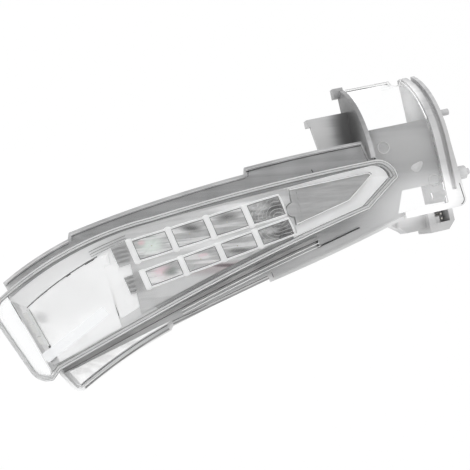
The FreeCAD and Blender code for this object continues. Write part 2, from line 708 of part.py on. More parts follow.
CELLS_PER_ROW = 4
PAD_GROOVES = 4
FLUTES = 4
TIP_LIGHTS = 3
ROWS = [
    SimpleNamespace(name="upper", centre=S.upper_row_z, slope=S.upper_row_slope,
                    height=S.upper_row_height),
    SimpleNamespace(name="lower", centre=S.lower_row_z, slope=S.lower_row_slope,
                    height=S.lower_row_height),
]
OUTER_BOSS_Y = bend_y(S.outer_boss_x, 0.0, S.back_bend) + S.outer_boss_rise
BOSSES = [("main", 0.0, 0.0, 0.0), ("outer", S.outer_boss_x, OUTER_BOSS_Y, S.outer_boss_z)]
BOARD_FIXINGS = [("left", S.left_pillar_x, S.left_pillar_z),
                 ("right", S.right_pillar_x, S.right_pillar_z)]
DIFFUSER_POSTS = [("upper", S.upper_post_x, S.upper_post_z),
                  ("lower", S.lower_post_x, S.lower_post_z),
                  ("outer", S.outer_post_x, S.outer_post_z)]
BOARD_REAR = S.board_level - S.board_thickness
LEAD_LEVEL = BOARD_REAR - S.lead_radius
SOCKET_X = BLOCK_LEFT_X + S.socket_left
SOCKET_Z = S.block_low_z + S.socket_low
SOCKET_FLOOR = S.block_front - S.socket_depth
TERMINAL_X = SOCKET_X + (S.socket_width + S.key_width) / 2
DUCT_Z = SOCKET_Z + S.socket_height / 2
TIP_BOARD_SHIFT = S.tray_wall + S.tip_board_shift
WING_AXIS = S.wing_bend - (S.flange_level + S.lens_wall)
RIM_RADIUS = S.wing_bend + S.wing_proud


flange_sketch = draw("flange_outline", flange_outline())
dome_sketch = draw("dome_outline", dome_outline())


def row_point(row, x, side=0.0):
    """x and z of a point of a cell row; side is 0.5 on its upper edge and -0.5 on its lower."""
    z = row.centre + row.slope * x + row.height * side
    return x - S.cell_lean * z, z


def cell_centre(row, number):
    """x and z of the middle of a light cell."""
    return row_point(row, S.cell_left_x + S.cell_pitch * (number + 0.5))


def end_line_outline(shift):
    """Everything to the right of the tray's slanted left end, moved right by shift."""
    low = S.tray_end_low_x + shift
    return (Outline(S.tray_end_top_x + shift, S.dome_left_z)
            .line(S.tray_end_top_x + shift, S.reach_height)
            .line(S.reach_right, S.reach_height)
            .line(S.reach_right, -S.reach_height)
            .line(low, -S.reach_height)
            .line(low, S.dome_low_z))


def end_line_x(z, shift):
    """x of the tray's slanted left end at a height, moved right by shift."""
    share = (z - S.dome_low_z) / (S.dome_left_z - S.dome_low_z)
    return S.tray_end_low_x + (S.tray_end_top_x - S.tray_end_low_x) * share + shift


def tray_shape(name, distance, rear, front, shift=0.0, **radii):
    """Bent solid that follows the dome's edge at a distance and stops at the tray's left end."""
    ending = along_depth(name + "_ending", draw(name + "_end_line", end_line_outline(shift)))
    return bent(name, inset(name + "_inset", dome_sketch, distance), rear, front, ending,
                **radii)


def wing_point(radius, high_z):
    """y and z on a radius of the wing's bend, on the ray that meets the window at a height."""
    sine = (high_z - S.wing_bend_z) / S.wing_bend
    cosine = (1.0 - sine * sine).root()
    return WING_AXIS - radius * cosine, S.wing_bend_z + radius * sine


def wing_shell_outline(outer, inner, low_z, high_z):
    """Section of a shell bent about the wing's axis, up to the ray through a height."""
    return (Outline(WING_AXIS - outer, low_z)
            .line(WING_AXIS - outer, S.wing_bend_z)
            .arc(*wing_point(outer, high_z), outer)
            .line(*wing_point(inner, high_z))
            .arc(WING_AXIS - inner, S.wing_bend_z, inner, left=False)
            .line(WING_AXIS - inner, low_z))


def wing_side_outline(low_z):
    """Section of a side wall of the wing, from its rim back to the back plane."""
    top_y, top_z = wing_point(RIM_RADIUS, S.wing_top_z)
    return (Outline(WING_AXIS - RIM_RADIUS, low_z)
            .line(WING_AXIS - RIM_RADIUS, S.wing_bend_z)
            .arc(top_y, top_z, RIM_RADIUS)
            .line(0.0, top_z)
            .line(0.0, low_z))


def housing_tray():
    """Tray and flange that carry the light unit, with the hollow for it."""
    flange = bent("flange", flange_sketch, S.flange_level - S.flange_wall, S.flange_level)
    tray = tray_shape("tray_outside", S.tray_inset, 0.0, S.flange_level,
                      rear_radius=S.back_bend)
    hollow = tray_shape("tray_inside", S.tray_inset + S.tray_wall, S.tray_wall,
                        S.face_level, shift=S.tray_wall, rear_radius=back_radius(S.tray_wall))
    return cut("tray_shell", fuse("tray_and_flange", flange, tray), hollow)


def wing_frame():
    """Frame of the wing: backing wall, side walls, right rim and the lip along the foot."""
    flange_rear = S.flange_level - S.flange_wall
    inner = S.wing_bend - S.lens_wall
    backing = along_length(
        "backing_wall", wing_shell_outline(inner - S.seat_gap, inner - S.backing_wall,
                                           S.wing_bend_z - 2.0, S.crease_z),
        S.wing_left_x, WINDOW_RIGHT_X)
    left_side = cut(
        "wing_left_side",
        along_length("wing_left_wall", wing_side_outline(S.wing_bend_z - S.lens_inset * 2),
                     S.wing_left_x - S.wing_wall, S.wing_left_x),
        box("lens_flange_room", S.wing_left_x - S.wing_wall * 2, -S.face_level,
            S.wing_bend_z - S.lens_inset * 3, S.wing_wall * 3, S.face_level - S.flange_level,
            S.lens_inset * 3))
    right_side = along_length("wing_right_side", wing_side_outline(S.foot_z + S.foot_radius),
                              WINDOW_RIGHT_X, WINDOW_RIGHT_X + S.wing_wall)
    right_rim = along_length(
        "wing_right_rim", wing_shell_outline(RIM_RADIUS, RIM_RADIUS - S.rim_depth,
                                             S.wing_bend_z - 2.0, S.wing_top_z),
        WINDOW_RIGHT_X, S.wing_right_x)
    lip_outline = (Outline(WINDOW_RIGHT_X, S.wing_bend_z)
                   .line(S.wing_right_x, S.wing_bend_z)
                   .line(WING_FOOT_X, S.foot_z + S.foot_radius)
                   .arc(WING_FOOT_X - S.foot_radius, S.foot_z, S.foot_radius)
                   .line(S.foot_left_x, S.foot_z)
                   .line(S.foot_left_x, S.window_low_z)
                   .line(WINDOW_RIGHT_X, S.window_low_z))
    lip = along_depth("foot_lip", draw("foot_lip_outline", lip_outline), flange_rear,
                      S.flange_level + S.lens_wall + S.wing_proud)
    return fuse("wing_frame", backing, left_side, right_side, right_rim, lip)


def bracket():
    """Fixing plate left of the wing with its hook and the edge clip above it."""
    right_x = S.wing_left_x - S.wing_wall
    plate = along_depth("bracket_plate", draw("bracket_outline", (
        Outline(S.bracket_left_x, S.bracket_low_z)
        .line(right_x, S.bracket_low_z)
        .line(right_x, S.bracket_top_z)
        .line(S.bracket_left_x - S.bracket_lean, S.bracket_top_z))),
        S.bracket_level - S.bracket_wall, S.bracket_level)
    web = box("bracket_web", S.bracket_left_x, -S.flange_level + S.flange_wall,
              S.bracket_low_z, right_x - S.bracket_left_x,
              S.flange_level - S.flange_wall - S.bracket_level + S.bracket_wall,
              S.bracket_wall)
    hook = box("bracket_hook", S.bracket_left_x - S.bracket_lean - S.hook_reach,
               -S.bracket_level, S.bracket_top_z - S.hook_height,
               S.hook_reach + S.bracket_wall, S.hook_depth, S.hook_height)
    clip = box("edge_clip", right_x - S.clip_width, -S.clip_depth,
               S.wing_top_z - S.clip_height / 2, S.clip_width + S.wing_wall, S.clip_depth,
               S.clip_height)
    return fuse("bracket", plate, web, hook, clip)


def locating_pins():
    """Two pins on the right side; the lower one stands on a collar."""
    pins = [cylinder(name + "_pin", S.pin_radius, S.right_rim_width + length,
                     WINDOW_RIGHT_X, -S.pin_level, z, TO_RIGHT)
            for name, z, length in (("upper", S.upper_pin_z, S.upper_pin_length),
                                    ("lower", S.lower_pin_z, S.lower_pin_length))]
    collar = cylinder("lower_pin_collar", S.pin_collar,
                      S.right_rim_width + S.pin_collar_length, WINDOW_RIGHT_X,
                      -S.pin_level, S.lower_pin_z, TO_RIGHT)
    return fuse("locating_pins", collar, *pins)


def duct_outline(start_x, half):
    """Strip along the cable duct: level out of the connector, then slanted up to the tray."""
    return (Outline(start_x, DUCT_Z - half)
            .line(start_x, DUCT_Z + half)
            .line(S.duct_bend_x, DUCT_Z + half)
            .line(S.duct_end_x, S.duct_end_z + half)
            .line(S.duct_end_x, S.duct_end_z - half)
            .line(S.duct_bend_x, DUCT_Z - half))


def duct(name, start_x, half):
    """Solid as thick as it is wide along the cable duct."""
    return along_depth(name, draw(name + "_outline", duct_outline(start_x, half)),
                       LEAD_LEVEL - half, LEAD_LEVEL + half)


def connector():
    """Connector block with its web, the cable arm and the duct to the tray."""
    block_top = S.foot_z + S.wing_wall
    block = along_depth("connector_block", draw("connector_outline", (
        Outline(BLOCK_LEFT_X, S.block_low_z)
        .line(BLOCK_LEFT_X + S.block_width - S.block_chamfer, S.block_low_z)
        .line(BLOCK_LEFT_X + S.block_width, S.block_low_z + S.block_chamfer)
        .line(BLOCK_LEFT_X + S.block_width, block_top)
        .line(BLOCK_LEFT_X, block_top))),
        S.block_front - S.block_depth, S.block_front)
    web = box("connector_web", BLOCK_LEFT_X, -S.flange_level + S.flange_wall, S.foot_z,
              S.block_width, S.flange_level - S.flange_wall - S.block_front + S.wing_wall,
              S.wing_wall)
    arm = along_depth("cable_arm", draw("cable_arm_outline", (
        Outline(S.arm_left_x, S.arm_low_z + S.arm_chamfer)
        .line(S.arm_left_x + S.arm_chamfer, S.arm_low_z)
        .line(BLOCK_LEFT_X + 1.0, S.arm_low_z)
        .line(BLOCK_LEFT_X + 1.0, block_top)
        .line(S.arm_left_x, block_top))),
        S.arm_front - S.arm_depth, S.arm_front)
    return fuse("connector", block, web, arm,
                duct("cable_duct", BLOCK_LEFT_X + 1.0, S.duct_half))


def housing():
    """Grey moulded housing: tray, flange, wing frame, bracket, pins and connector in one."""
    bosses = []
    bores = []
    for name, x, y, z in BOSSES:
        bosses.append(cylinder(name + "_boss", S.boss_radius,
                               S.boss_bore_depth + S.boss_floor, x, y, z, TO_FRONT))
        bores.append(cylinder(name + "_bore", S.boss_bore, S.boss_bore_depth, x, y, z,
                              TO_FRONT))
    for name, x, z in BOARD_FIXINGS:
        bosses.append(cylinder(name + "_pillar", S.pillar_radius, BOARD_REAR - 1.0, x, -1.0,
                               z, TO_FRONT))
        bores.append(cylinder(name + "_pillar_bore", S.board_screw_bore,
                              BOARD_REAR, x, -S.tray_wall, z, TO_FRONT))
    posts = []
    for name, x, z in DIFFUSER_POSTS:
        profile = draw(name + "_post_outline", box_outline(
            x - S.post_radius, z - S.post_radius, S.post_radius * 2, S.post_radius * 2))
        posts.append(bent(name + "_post", profile, 0.5, S.diffuser_level - 0.3,
                          rear_radius=back_radius(0.5)))
    vent = cylinder("vent_hole", S.vent_bore, S.tray_wall + 2.0, S.vent_x, 1.0, S.vent_z,
                    TO_FRONT)
    socket = box("socket_cut", SOCKET_X, -S.block_front - 1.0, SOCKET_Z, S.socket_width,
                 S.socket_depth + 1.0, S.socket_height)
    key = box("socket_key", SOCKET_X - 0.5, -S.block_front + 1.0, SOCKET_Z - 0.5,
              S.key_width + 0.5, S.socket_depth, S.key_height + 0.5)
    slots = [box("terminal_slot_%d" % number, TERMINAL_X - S.terminal_size / 2,
                 -SOCKET_FLOOR - 1.0, z - S.terminal_size / 2, S.terminal_size,
                 SOCKET_FLOOR + 1.0 - LEAD_LEVEL, S.terminal_size)
             for number, z in enumerate(wire_heights(), start=1)]
    duct_bore = duct("duct_bore_cut", TERMINAL_X + S.terminal_size / 2 + S.reflector_gap,
                     S.duct_bore)
    light_field = along_depth(
        "light_field_cut", draw("light_field_outline", (
            Outline(S.window_left_x, S.window_low_z)
            .line(WINDOW_RIGHT_X, S.window_low_z)
            .line(WINDOW_RIGHT_X, S.backing_low_z)
            .line(S.window_left_x + S.window_lean, S.backing_low_z))),
        S.flange_level - S.flange_wall - 0.5, S.flange_level + 0.5)
    groove_x = S.wing_right_x - S.rim_groove_inset
    groove = along_length(
        "rim_groove_cut", wing_shell_outline(RIM_RADIUS + 1.0, RIM_RADIUS - S.rim_groove_depth,
                                             S.rim_groove_low_z, S.wing_top_z),
        groove_x, groove_x + S.rim_groove)
    solid = fuse("housing_solid", housing_tray(), wing_frame(), bracket(), locating_pins(),
                 connector(), *bosses, *posts)
    bare = cut("housing_bare", solid, groove, light_field, socket, duct_bore, vent, *bores)
    return cut("housing", fuse("housing_keyed", bare, key), *slots)


def clear_lens():
    """Clear lens: dome with raised rim, seat flange, wrapped tip and the wing's window."""
    seat = S.flange_level + S.seat_gap
    plate_front = S.flange_level + S.lens_wall
    right_x = WINDOW_RIGHT_X - S.seat_gap
    dome = bent("dome_outside", dome_sketch, seat, S.face_level)
    rim = cut("dome_rim", bent("dome_rim_outside", dome_sketch, S.face_level - 0.5,
                               S.face_level + S.rim_height),
              bent("dome_rim_inside", inset("dome_rim_inset", dome_sketch, S.rim_width),
                   S.face_level - 1.0, S.face_level + S.rim_height + 1.0))
    hollow = bent("dome_inside", inset("dome_wall_inset", dome_sketch, S.lens_wall),
                  seat - S.lens_wall, S.face_level - S.lens_wall)
    right_edge = along_depth("lens_flange_ending", draw("lens_flange_end", box_outline(
        -S.reach_right, -S.reach_height, S.reach_right + right_x, S.reach_height * 2)))
    flange = bent("lens_flange_all", inset("lens_flange_inset", flange_sketch, S.lens_inset),
                  seat, plate_front, right_edge)
    tip_floor = cut("tip_floor", bent("tip_floor_all", dome_sketch, seat, plate_front),
                    along_depth("tip_floor_ending", draw("tip_floor_end_line",
                                                        end_line_outline(-S.seat_gap))))
    window = along_length(
        "window_bend", wing_shell_outline(S.wing_bend, S.wing_bend - S.lens_wall
                                          + S.seat_gap, S.wing_bend_z - S.lens_inset - 1.0,
                                          S.wing_top_z),
        S.wing_left_x + S.seat_gap, right_x)
    slot = along_depth("slot_cut", draw("slot_outline", box_outline(
        S.wing_right_x - S.slot_inset, S.slot_low_z, S.slot_length, S.slot_height)),
        seat - 1.0, plate_front + 1.0)
    notch = cylinder("notch_cut", S.notch_radius, S.face_level,
                     S.wing_right_x - S.notch_inset, 0.0, S.wing_top_z, TO_FRONT)
    foot_cut = along_depth("lens_foot_cut", draw("lens_foot_outline", box_outline(
        S.foot_left_x - S.seat_gap, S.foot_z - 1.0, S.reach_right,
        S.window_low_z + S.seat_gap - S.foot_z + 1.0)), seat - 1.0, plate_front + 1.0)
    slit = along_depth("latch_slit_cut", draw("latch_slit_outline", (
        Outline(S.slit_left_x, S.slit_top_z)
        .line(S.slit_left_x, S.slit_low_z)
        .line(S.slit_right_x, S.slit_right_z)
        .line(S.slit_right_x, S.slit_right_z + S.slit_width)
        .line(S.slit_left_x + S.slit_width, S.slit_low_z + S.slit_width)
        .line(S.slit_left_x + S.slit_width, S.slit_top_z))),
        seat - 1.0, plate_front + 1.0)
    shell = cut("lens_shell", fuse("lens_outside", dome, rim, flange), hollow, foot_cut)
    return cut("clear_lens", fuse("lens_solid", shell, tip_floor, window), slot, notch, slit)


def reflector():
    """Bright reflector: a trim plate and a block with two rows of flared cells."""
    rear = S.board_level + S.reflector_gap
    left = S.cell_left_x - S.cell_divider / 2
    right = S.cell_left_x + S.cell_pitch * CELLS_PER_ROW + S.cell_divider / 4
    upper, lower = ROWS
    low_side = -0.5
    high_side = 0.5
    corners = [row_point(lower, left, low_side), row_point(lower, right, low_side),
               row_point(upper, right, high_side), row_point(upper, left, high_side)]
    edge = S.cell_edge
    block = Outline(corners[0][0], corners[0][1] - edge)
    block.line(corners[1][0], corners[1][1] - edge)
    block.line(corners[2][0], corners[2][1] + edge)
    block.line(corners[3][0], corners[3][1] + edge)
    body = along_depth("cell_block", draw("cell_block_outline", block), rear, S.cell_front)
    cuts = []
    for row in ROWS:
        sides = row_wedge(row, rear + S.cell_floor)
        for number in range(CELLS_PER_ROW):
            name = "%s_cell_%d" % (row.name, number + 1)
            start = S.cell_left_x + S.cell_pitch * number + S.cell_divider / 2
            end = S.cell_left_x + S.cell_pitch * (number + 1) - S.cell_divider / 2
            ends = cell_wedge(name + "_ends", start, end, rear + S.cell_floor)
            x, z = cell_centre(row, number)
            hole = box(name + "_hole", x - S.lamp_window / 2, -rear - S.cell_floor - 1.0,
                       z - S.lamp_window / 2, S.lamp_window, S.cell_floor + 2.0,
                       S.lamp_window)
            cuts += [common(name, ends, sides), hole]
    trim = tray_shape("reflector_trim_all", S.tray_inset + S.tray_wall + S.seat_gap,
                      S.cell_front - S.trim_wall, S.cell_front)
    limits = along_depth("reflector_trim_ending", draw("reflector_trim_limits", box_outline(
        left - S.pad_length / 4, -S.reach_height,
        S.panel_left_x - S.reflector_gap - left + S.pad_length / 4, S.reach_height * 2)))
    trim_part = common("reflector_trim", trim, limits)
    pads = [ribbed_pad(row, left) for row in ROWS]
    whole = fuse("reflector_solid", body, trim_part, *pads)
    cuts.append(cylinder("wave_clearance", S.wave_round + S.reflector_gap,
                         S.draw_depth, S.panel_left_x,
                         S.wave_depth + S.reflector_gap - S.panel_front, S.wave_centre_z,
                         TO_FRONT))
    trimmed = common("reflector_within", whole, tray_shape(
        "reflector_reach", S.tray_inset + S.tray_wall + S.seat_gap, rear - 1.0,
        S.face_level, rear_radius=back_radius(rear - 1.0)))
    return cut("reflector", trimmed, *cuts)


def cell_wedge(name, start, end, floor):
    """Wedge that narrows towards a cell's floor and leans like the walls between cells."""
    section = (Outline(start, -S.cell_front)
               .line(end, -S.cell_front)
               .line(end - S.cell_flare, -floor)
               .line(start + S.cell_flare, -floor))
    wedge = extrude(name, draw(name + "_section", section, ABOVE),
                    Vector(-plain(S.cell_lean), 0, 1), -S.reach_height, S.reach_height)
    wedge.setExpression("Dir.x", (-S.cell_lean).formula)
    return wedge


def row_wedge(row, floor):
    """Wedge along a whole row that narrows towards the floors of its cells."""
    share = 1.0 - S.cell_lean * row.slope
    middle = row.centre / share
    mouth = row.height / share / 2
    base = (row.height / 2 - S.row_flare) / share
    section = (Outline(-S.cell_front, middle - mouth)
               .line(-S.cell_front, middle + mouth)
               .line(-floor, middle + base)
               .line(-floor, middle - base))
    rise = row.slope / share
    wedge = extrude(row.name + "_sides", draw(row.name + "_sides_section", section, SIDE),
                    Vector(1, 0, plain(rise)), -S.reach_right, S.reach_right)
    wedge.setExpression("Dir.z", rise.formula)
    return wedge


def ribbed_pad(row, left):
    """Pad with shallow ribs at the outer end of a row of cells."""
    rear = S.cell_front - S.pad_depth
    name = row.name + "_pad"
    block = along_depth(name + "_block", draw(name + "_outline", cell_outline(
        row, left - S.pad_length, left + 1.0, 0.5)), rear, S.cell_front)
    grooves = []
    middle = cell_outline(row, left - S.pad_length, left - S.cell_divider / 2, 0.0)
    (start_x, start_z), (end_x, end_z) = middle.corners[:2]
    for number in range(PAD_GROOVES):
        lift = S.pad_rib_pitch * (number - (PAD_GROOVES - 1) / 2)
        low = start_z + lift - S.pad_groove / 2
        high = end_z + lift - S.pad_groove / 2
        strip = (Outline(start_x - 2.0, low).line(end_x, high)
                 .line(end_x, high + S.pad_groove)
                 .line(start_x - 2.0, low + S.pad_groove))
        grooves.append(along_depth("%s_groove_%d" % (name, number + 1),
                                   draw("%s_groove_outline_%d" % (name, number + 1), strip),
                                   S.cell_front - S.pad_groove_depth, S.cell_front + 1.0))
    return cut(name, block, *grooves)


def cell_outline(row, start, end, side):
    """Leaning outline of a cell between two x positions along its row."""
    return (Outline(*row_point(row, start, -side))
            .line(*row_point(row, end, -side))
            .line(*row_point(row, end, side))
            .line(*row_point(row, start, side)))


def nose_panel():
    """Leaf-shaped panel in the nose with a rim, plain flutes and the wavy wall at its left."""
    def leaf(name, margin):
        shape = (Outline(S.panel_left_x + margin, S.panel_top_z - margin)
                 .line(S.panel_tip_x - S.panel_tip_round - margin, S.panel_top_z - margin)
                 .arc(S.panel_tip_x - margin, S.panel_top_z - S.panel_tip_round - margin,
                      S.panel_tip_round)
                 .line(S.panel_knee_x - margin / 2, S.panel_knee_z + margin)
                 .line(S.panel_left_x + margin, S.panel_low_z + margin))
        return draw(name, shape)
    plate = along_depth("panel_plate", leaf("panel_outline", 0.0),
                        S.panel_front - S.panel_wall, S.panel_front)
    rim_out = along_depth("panel_rim_outside", leaf("panel_rim_outline", 0.0),
                          S.panel_front - 0.2, S.panel_front + S.panel_rim)
    rim_in = along_depth("panel_rim_inside", leaf("panel_inner_outline", S.panel_rim),
                         S.panel_front - 0.5, S.panel_front + S.panel_rim + 0.5)
    middle = S.wave_centre_z
    wave = (Outline(S.panel_left_x, S.panel_low_z)
            .line(S.panel_left_x, middle - S.wave_round)
            .arc(S.panel_left_x, middle + S.wave_round, S.wave_round + 0.001)
            .line(S.panel_left_x, S.panel_top_z)
            .line(S.panel_left_x + S.wave_wall, S.panel_top_z)
            .line(S.panel_left_x + S.wave_wall, S.panel_low_z))
    wall = along_depth("wave_wall", draw("wave_wall_outline", wave),
                       S.panel_front - S.wave_depth, S.panel_front + S.panel_rim)
    flutes = []
    for number in range(FLUTES):
        z = S.panel_top_z - S.panel_rim * 2 - S.flute_pitch * (number + 0.5)
        flute = box("flute_%d" % (number + 1), S.panel_left_x + S.wave_round,
                    -S.panel_front - S.flute_height, z, S.panel_knee_x - S.panel_left_x,
                    S.flute_height + 0.2, S.flute_width)
        flutes.append(flute)
    field = common("flute_field", fuse("flutes", *flutes),
                   along_depth("flute_limits", leaf("flute_outline", S.panel_rim * 2),
                               S.panel_front - 0.5, S.panel_front + 1.0))
    return fuse("nose_panel", plate, cut("panel_rim_ring", rim_out, rim_in), wall, field)


def diffuser():
    """Pale curved panel that spreads the light at the outer end."""
    left = TIP_BOARD_SHIFT + S.tip_board_wall + S.reflector_gap
    left_top = end_line_x(S.diffuser_top_left_z, left)
    shape = (Outline(left_top, S.diffuser_top_left_z)
             .arc(S.diffuser_right_x, S.diffuser_right_z, S.diffuser_bow)
             .line(S.diffuser_low_x, -S.reach_height)
             .line(S.tray_end_low_x + left, -S.reach_height)
             .line(S.tray_end_low_x + left, S.dome_low_z))
    limits = along_depth("diffuser_limits", draw("diffuser_outline", shape))
    edge = inset("diffuser_inset", dome_sketch, S.diffuser_margin)
    return bent("diffuser", edge, S.diffuser_level, S.diffuser_level + S.diffuser_wall,
                limits)


def light_bar():
    """Clear bar that carries light along the diffuser's lower edge."""
    run = S.bar_right_x - S.bar_left_x
    rise = S.bar_right_z - S.bar_left_z
    length = (run * run + rise * rise).root()
    side_x = rise / length * S.bar_width / 2
    side_z = run / length * S.bar_width / 2
    shape = (Outline(S.bar_left_x + side_x, S.bar_left_z - side_z)
             .line(S.bar_right_x + side_x, S.bar_right_z - side_z)
             .line(S.bar_right_x - side_x, S.bar_right_z + side_z)
             .line(S.bar_left_x - side_x, S.bar_left_z + side_z))
    rear = S.diffuser_level + S.diffuser_wall + 0.1
    return bent("light_bar", draw("light_bar_outline", shape), rear, rear + S.bar_height)


def tip_strip(name, top_z, low_z, shift, width, rear, front, **radii):
    """Bent upright strip along the tray's left end, between two heights and two levels."""
    shape = (Outline(end_line_x(low_z, shift), low_z)
             .line(end_line_x(low_z, shift) + width, low_z)
             .line(end_line_x(top_z, shift) + width, top_z)
             .line(end_line_x(top_z, shift), top_z))
    return bent(name, draw(name + "_outline", shape), rear, front, **radii)


def tip_board():
    """Small board that stands on the tray's floor at the outer end."""
    rear = S.tray_wall + S.reflector_gap
    return tip_strip("tip_board", S.tip_board_top_z, S.tip_board_low_z, TIP_BOARD_SHIFT,
                     S.tip_board_wall, rear, S.tip_board_front, rear_radius=back_radius(rear))


def tip_lights():
    """Three side-facing light sources on the tip board."""
    chips = []
    span = S.tip_board_top_z - S.tip_board_low_z
    for number in range(TIP_LIGHTS):
        middle = S.tip_board_low_z + span * ((number + 0.5) / TIP_LIGHTS)
        chips.append(tip_strip("tip_light_%d" % (number + 1), middle + S.led_length / 2,
                               middle - S.led_length / 2,
                               TIP_BOARD_SHIFT - S.led_height,
                               S.led_height, S.tip_board_front - S.led_width,
                               S.tip_board_front))
    return group("tip_lights", *chips)


def circuit_board():
    """Circuit board under both rows, with its two screw holes."""
    outline = (Outline(S.board_left_x, S.board_left_low)
               .line(S.board_right_x, S.board_right_low)
               .line(S.board_right_x, S.board_right_top)
               .line(S.board_left_x, S.board_left_top))
    plate = along_depth("board_plate", draw("board_outline", outline), BOARD_REAR,
                        S.board_level)
    holes = [cylinder("board_hole_" + name, S.board_screw_bore + 0.2,
                      S.board_thickness + 2.0, x, 1.0 - BOARD_REAR, z, TO_FRONT)
             for name, x, z in BOARD_FIXINGS]
    return cut("circuit_board", plate, *holes)


def light_sources():
    """Eight light sources on the board, one at the middle of each cell."""
    chips = []
    for row in ROWS:
        for number in range(CELLS_PER_ROW):
            x, z = cell_centre(row, number)
            chips.append(box("led_%s_%d" % (row.name, number + 1), x - S.led_length / 2,
                             -S.board_level - S.led_height, z - S.led_width / 2,
                             S.led_length, S.led_height, S.led_width))
    return group("light_sources", *chips)


def board_part(name, x, z, length, width, height):
    """Small part on the back of the board, centred on a point."""
    return box(name, x - length / 2, -BOARD_REAR, z - width / 2, length, height, width)


def driver_chips():
    """Two driver chips on the back of the board."""
    return group("driver_chips", *[
        board_part("driver_chip_%d" % number, *cell_place(x_share), S.chip_length,
                   S.chip_width, S.chip_height)
        for number, x_share in ((1, 0.2), (2, 0.75))])


def cell_place(share):
    """x and z between the two rows at a share of their length."""
    upper, lower = ROWS
    x = S.cell_left_x + S.cell_pitch * CELLS_PER_ROW * share
    high_x, high_z = row_point(upper, x)
    low_x, low_z = row_point(lower, x)
    return (high_x + low_x) / 2, (high_z + low_z) / 2


def resistors():
    """Eight current resistors on the back of the board, one for each light source."""
    pieces = []
    for row in ROWS:
        for number in range(CELLS_PER_ROW):
            x, z = cell_centre(row, number)
            pieces.append(board_part("resistor_%s_%d" % (row.name, number + 1), x, z,
                                     S.resistor_length, S.resistor_width,
                                     S.resistor_height))
    return group("resistors", *pieces)


def capacitor():
    """Round capacitor on the back of the board."""
    x, z = cell_place(0.9)
    return cylinder("capacitor", S.capacitor_radius, S.capacitor_height, x, -BOARD_REAR, z,
                    TO_BACK)


def protection_diode():
    """Diode that guards the board against a swapped supply."""
    x, z = cell_place(0.35)
    return board_part("protection_diode", x, z, S.diode_length, S.diode_width,
                      S.diode_height)


def board_screws():
    """Two screws that hold the board on its pillars."""
    screws = []
    for name, x, z in BOARD_FIXINGS:
        head = cylinder("screw_head_" + name, S.screw_head, S.screw_head_height, x,
                        -S.board_level, z, TO_FRONT)
        shank = cylinder("screw_shank_" + name, S.screw_shank,
                         S.screw_length + 0.2, x, -S.board_level - 0.2, z, TO_BACK)
        recess = [box("screw_slot_%s_%s" % (name, way), x - length / 2,
                      -S.board_level - S.screw_head_height - 0.1, z - height / 2, length,
                      S.screw_head_height / 2 + 0.1, height)
                  for way, length, height in (("a", S.screw_head * 1.2, S.screw_recess / 2),
                                              ("b", S.screw_recess / 2, S.screw_head * 1.2))]
        screws.append(cut("screw_" + name, fuse("screw_solid_" + name, head, shank),
                          *recess))
    return group("board_screws", *screws)


def wire_heights():
    """Heights of the lower and the upper terminal, which the leads start from."""
    return DUCT_Z - S.terminal_pitch / 2, DUCT_Z + S.terminal_pitch / 2


def terminals():
    """Two square pins through the floor of the socket."""
    return group("terminals", *[
        box("terminal_%d" % number, TERMINAL_X - S.terminal_size / 2,
            -SOCKET_FLOOR - S.terminal_length, z - S.terminal_size / 2, S.terminal_size,
            S.terminal_length + SOCKET_FLOOR - LEAD_LEVEL + S.terminal_size / 2,
            S.terminal_size)
        for number, z in enumerate(wire_heights(), start=1)])


def lead(name, height):
    """Lead from a terminal through the cable duct to the back of the board."""
    lift = height - DUCT_Z
    turn_x = S.duct_bend_x + (S.duct_end_x - S.duct_bend_x) * S.lead_run_on
    turn_z = DUCT_Z + (S.duct_end_z - DUCT_Z) * S.lead_run_on
    corners = [(TERMINAL_X - S.terminal_size / 2, height),
               (S.duct_bend_x, height),
               (turn_x, turn_z + lift),
               (S.lead_end_x, S.lead_end_z + lift)]
    return tube(name, corners, S.lead_radius, S.lead_bend, LEAD_LEVEL)


def board_link():
    """Flat link that lies on the board's outer end and bends back to the tip board."""
    bend_x = S.board_left_x - 0.5
    rear = S.board_level
    end_x = end_line_x(S.link_end_z, TIP_BOARD_SHIFT + S.tip_board_wall)
    start_x = S.board_left_x + S.link_lap
    limit_x = end_x - 1.0
    inner = S.link_bend
    outer = S.link_bend + S.link_wall

    def back_y(radius):
        reach = bend_x - limit_x
        return inner - rear - (radius * radius - reach * reach).root()

    section = (Outline(start_x, -rear - S.link_wall)
               .line(bend_x, -rear - S.link_wall)
               .arc(limit_x, back_y(outer), outer)
               .line(limit_x, back_y(inner))
               .arc(bend_x, -rear, inner, left=False)
               .line(start_x, -rear))
    strip = extrude("board_link_strip", draw("board_link_section", section, ABOVE),
                    Vector(0, 0, 1), -S.reach_height, S.reach_height)
    half = S.link_width / 2
    shape = (Outline(start_x, S.link_start_z - half)
             .line(start_x, S.link_start_z + half)
             .line(end_x, S.link_end_z + half)
             .line(end_x + S.link_width / 3, S.link_end_z - half))
    return common("board_link", along_depth("board_link_prism",
                                            draw("board_link_outline", shape)), strip)


def vent_membrane():
    """Round membrane over the vent on the back of the tray."""
    return cylinder("vent_membrane", S.vent_radius, S.vent_wall, S.vent_x, 0.0, S.vent_z,
                    TO_BACK)


PARTS = [housing(), clear_lens(), reflector(), nose_panel(), diffuser(), light_bar(),
         tip_board(), tip_lights(), circuit_board(), light_sources(), driver_chips(),
         resistors(), capacitor(), protection_diode(), board_screws(), terminals(),
         lead("return_lead", wire_heights()[0]), lead("supply_lead", wire_heights()[1]),
         board_link(), vent_membrane()]

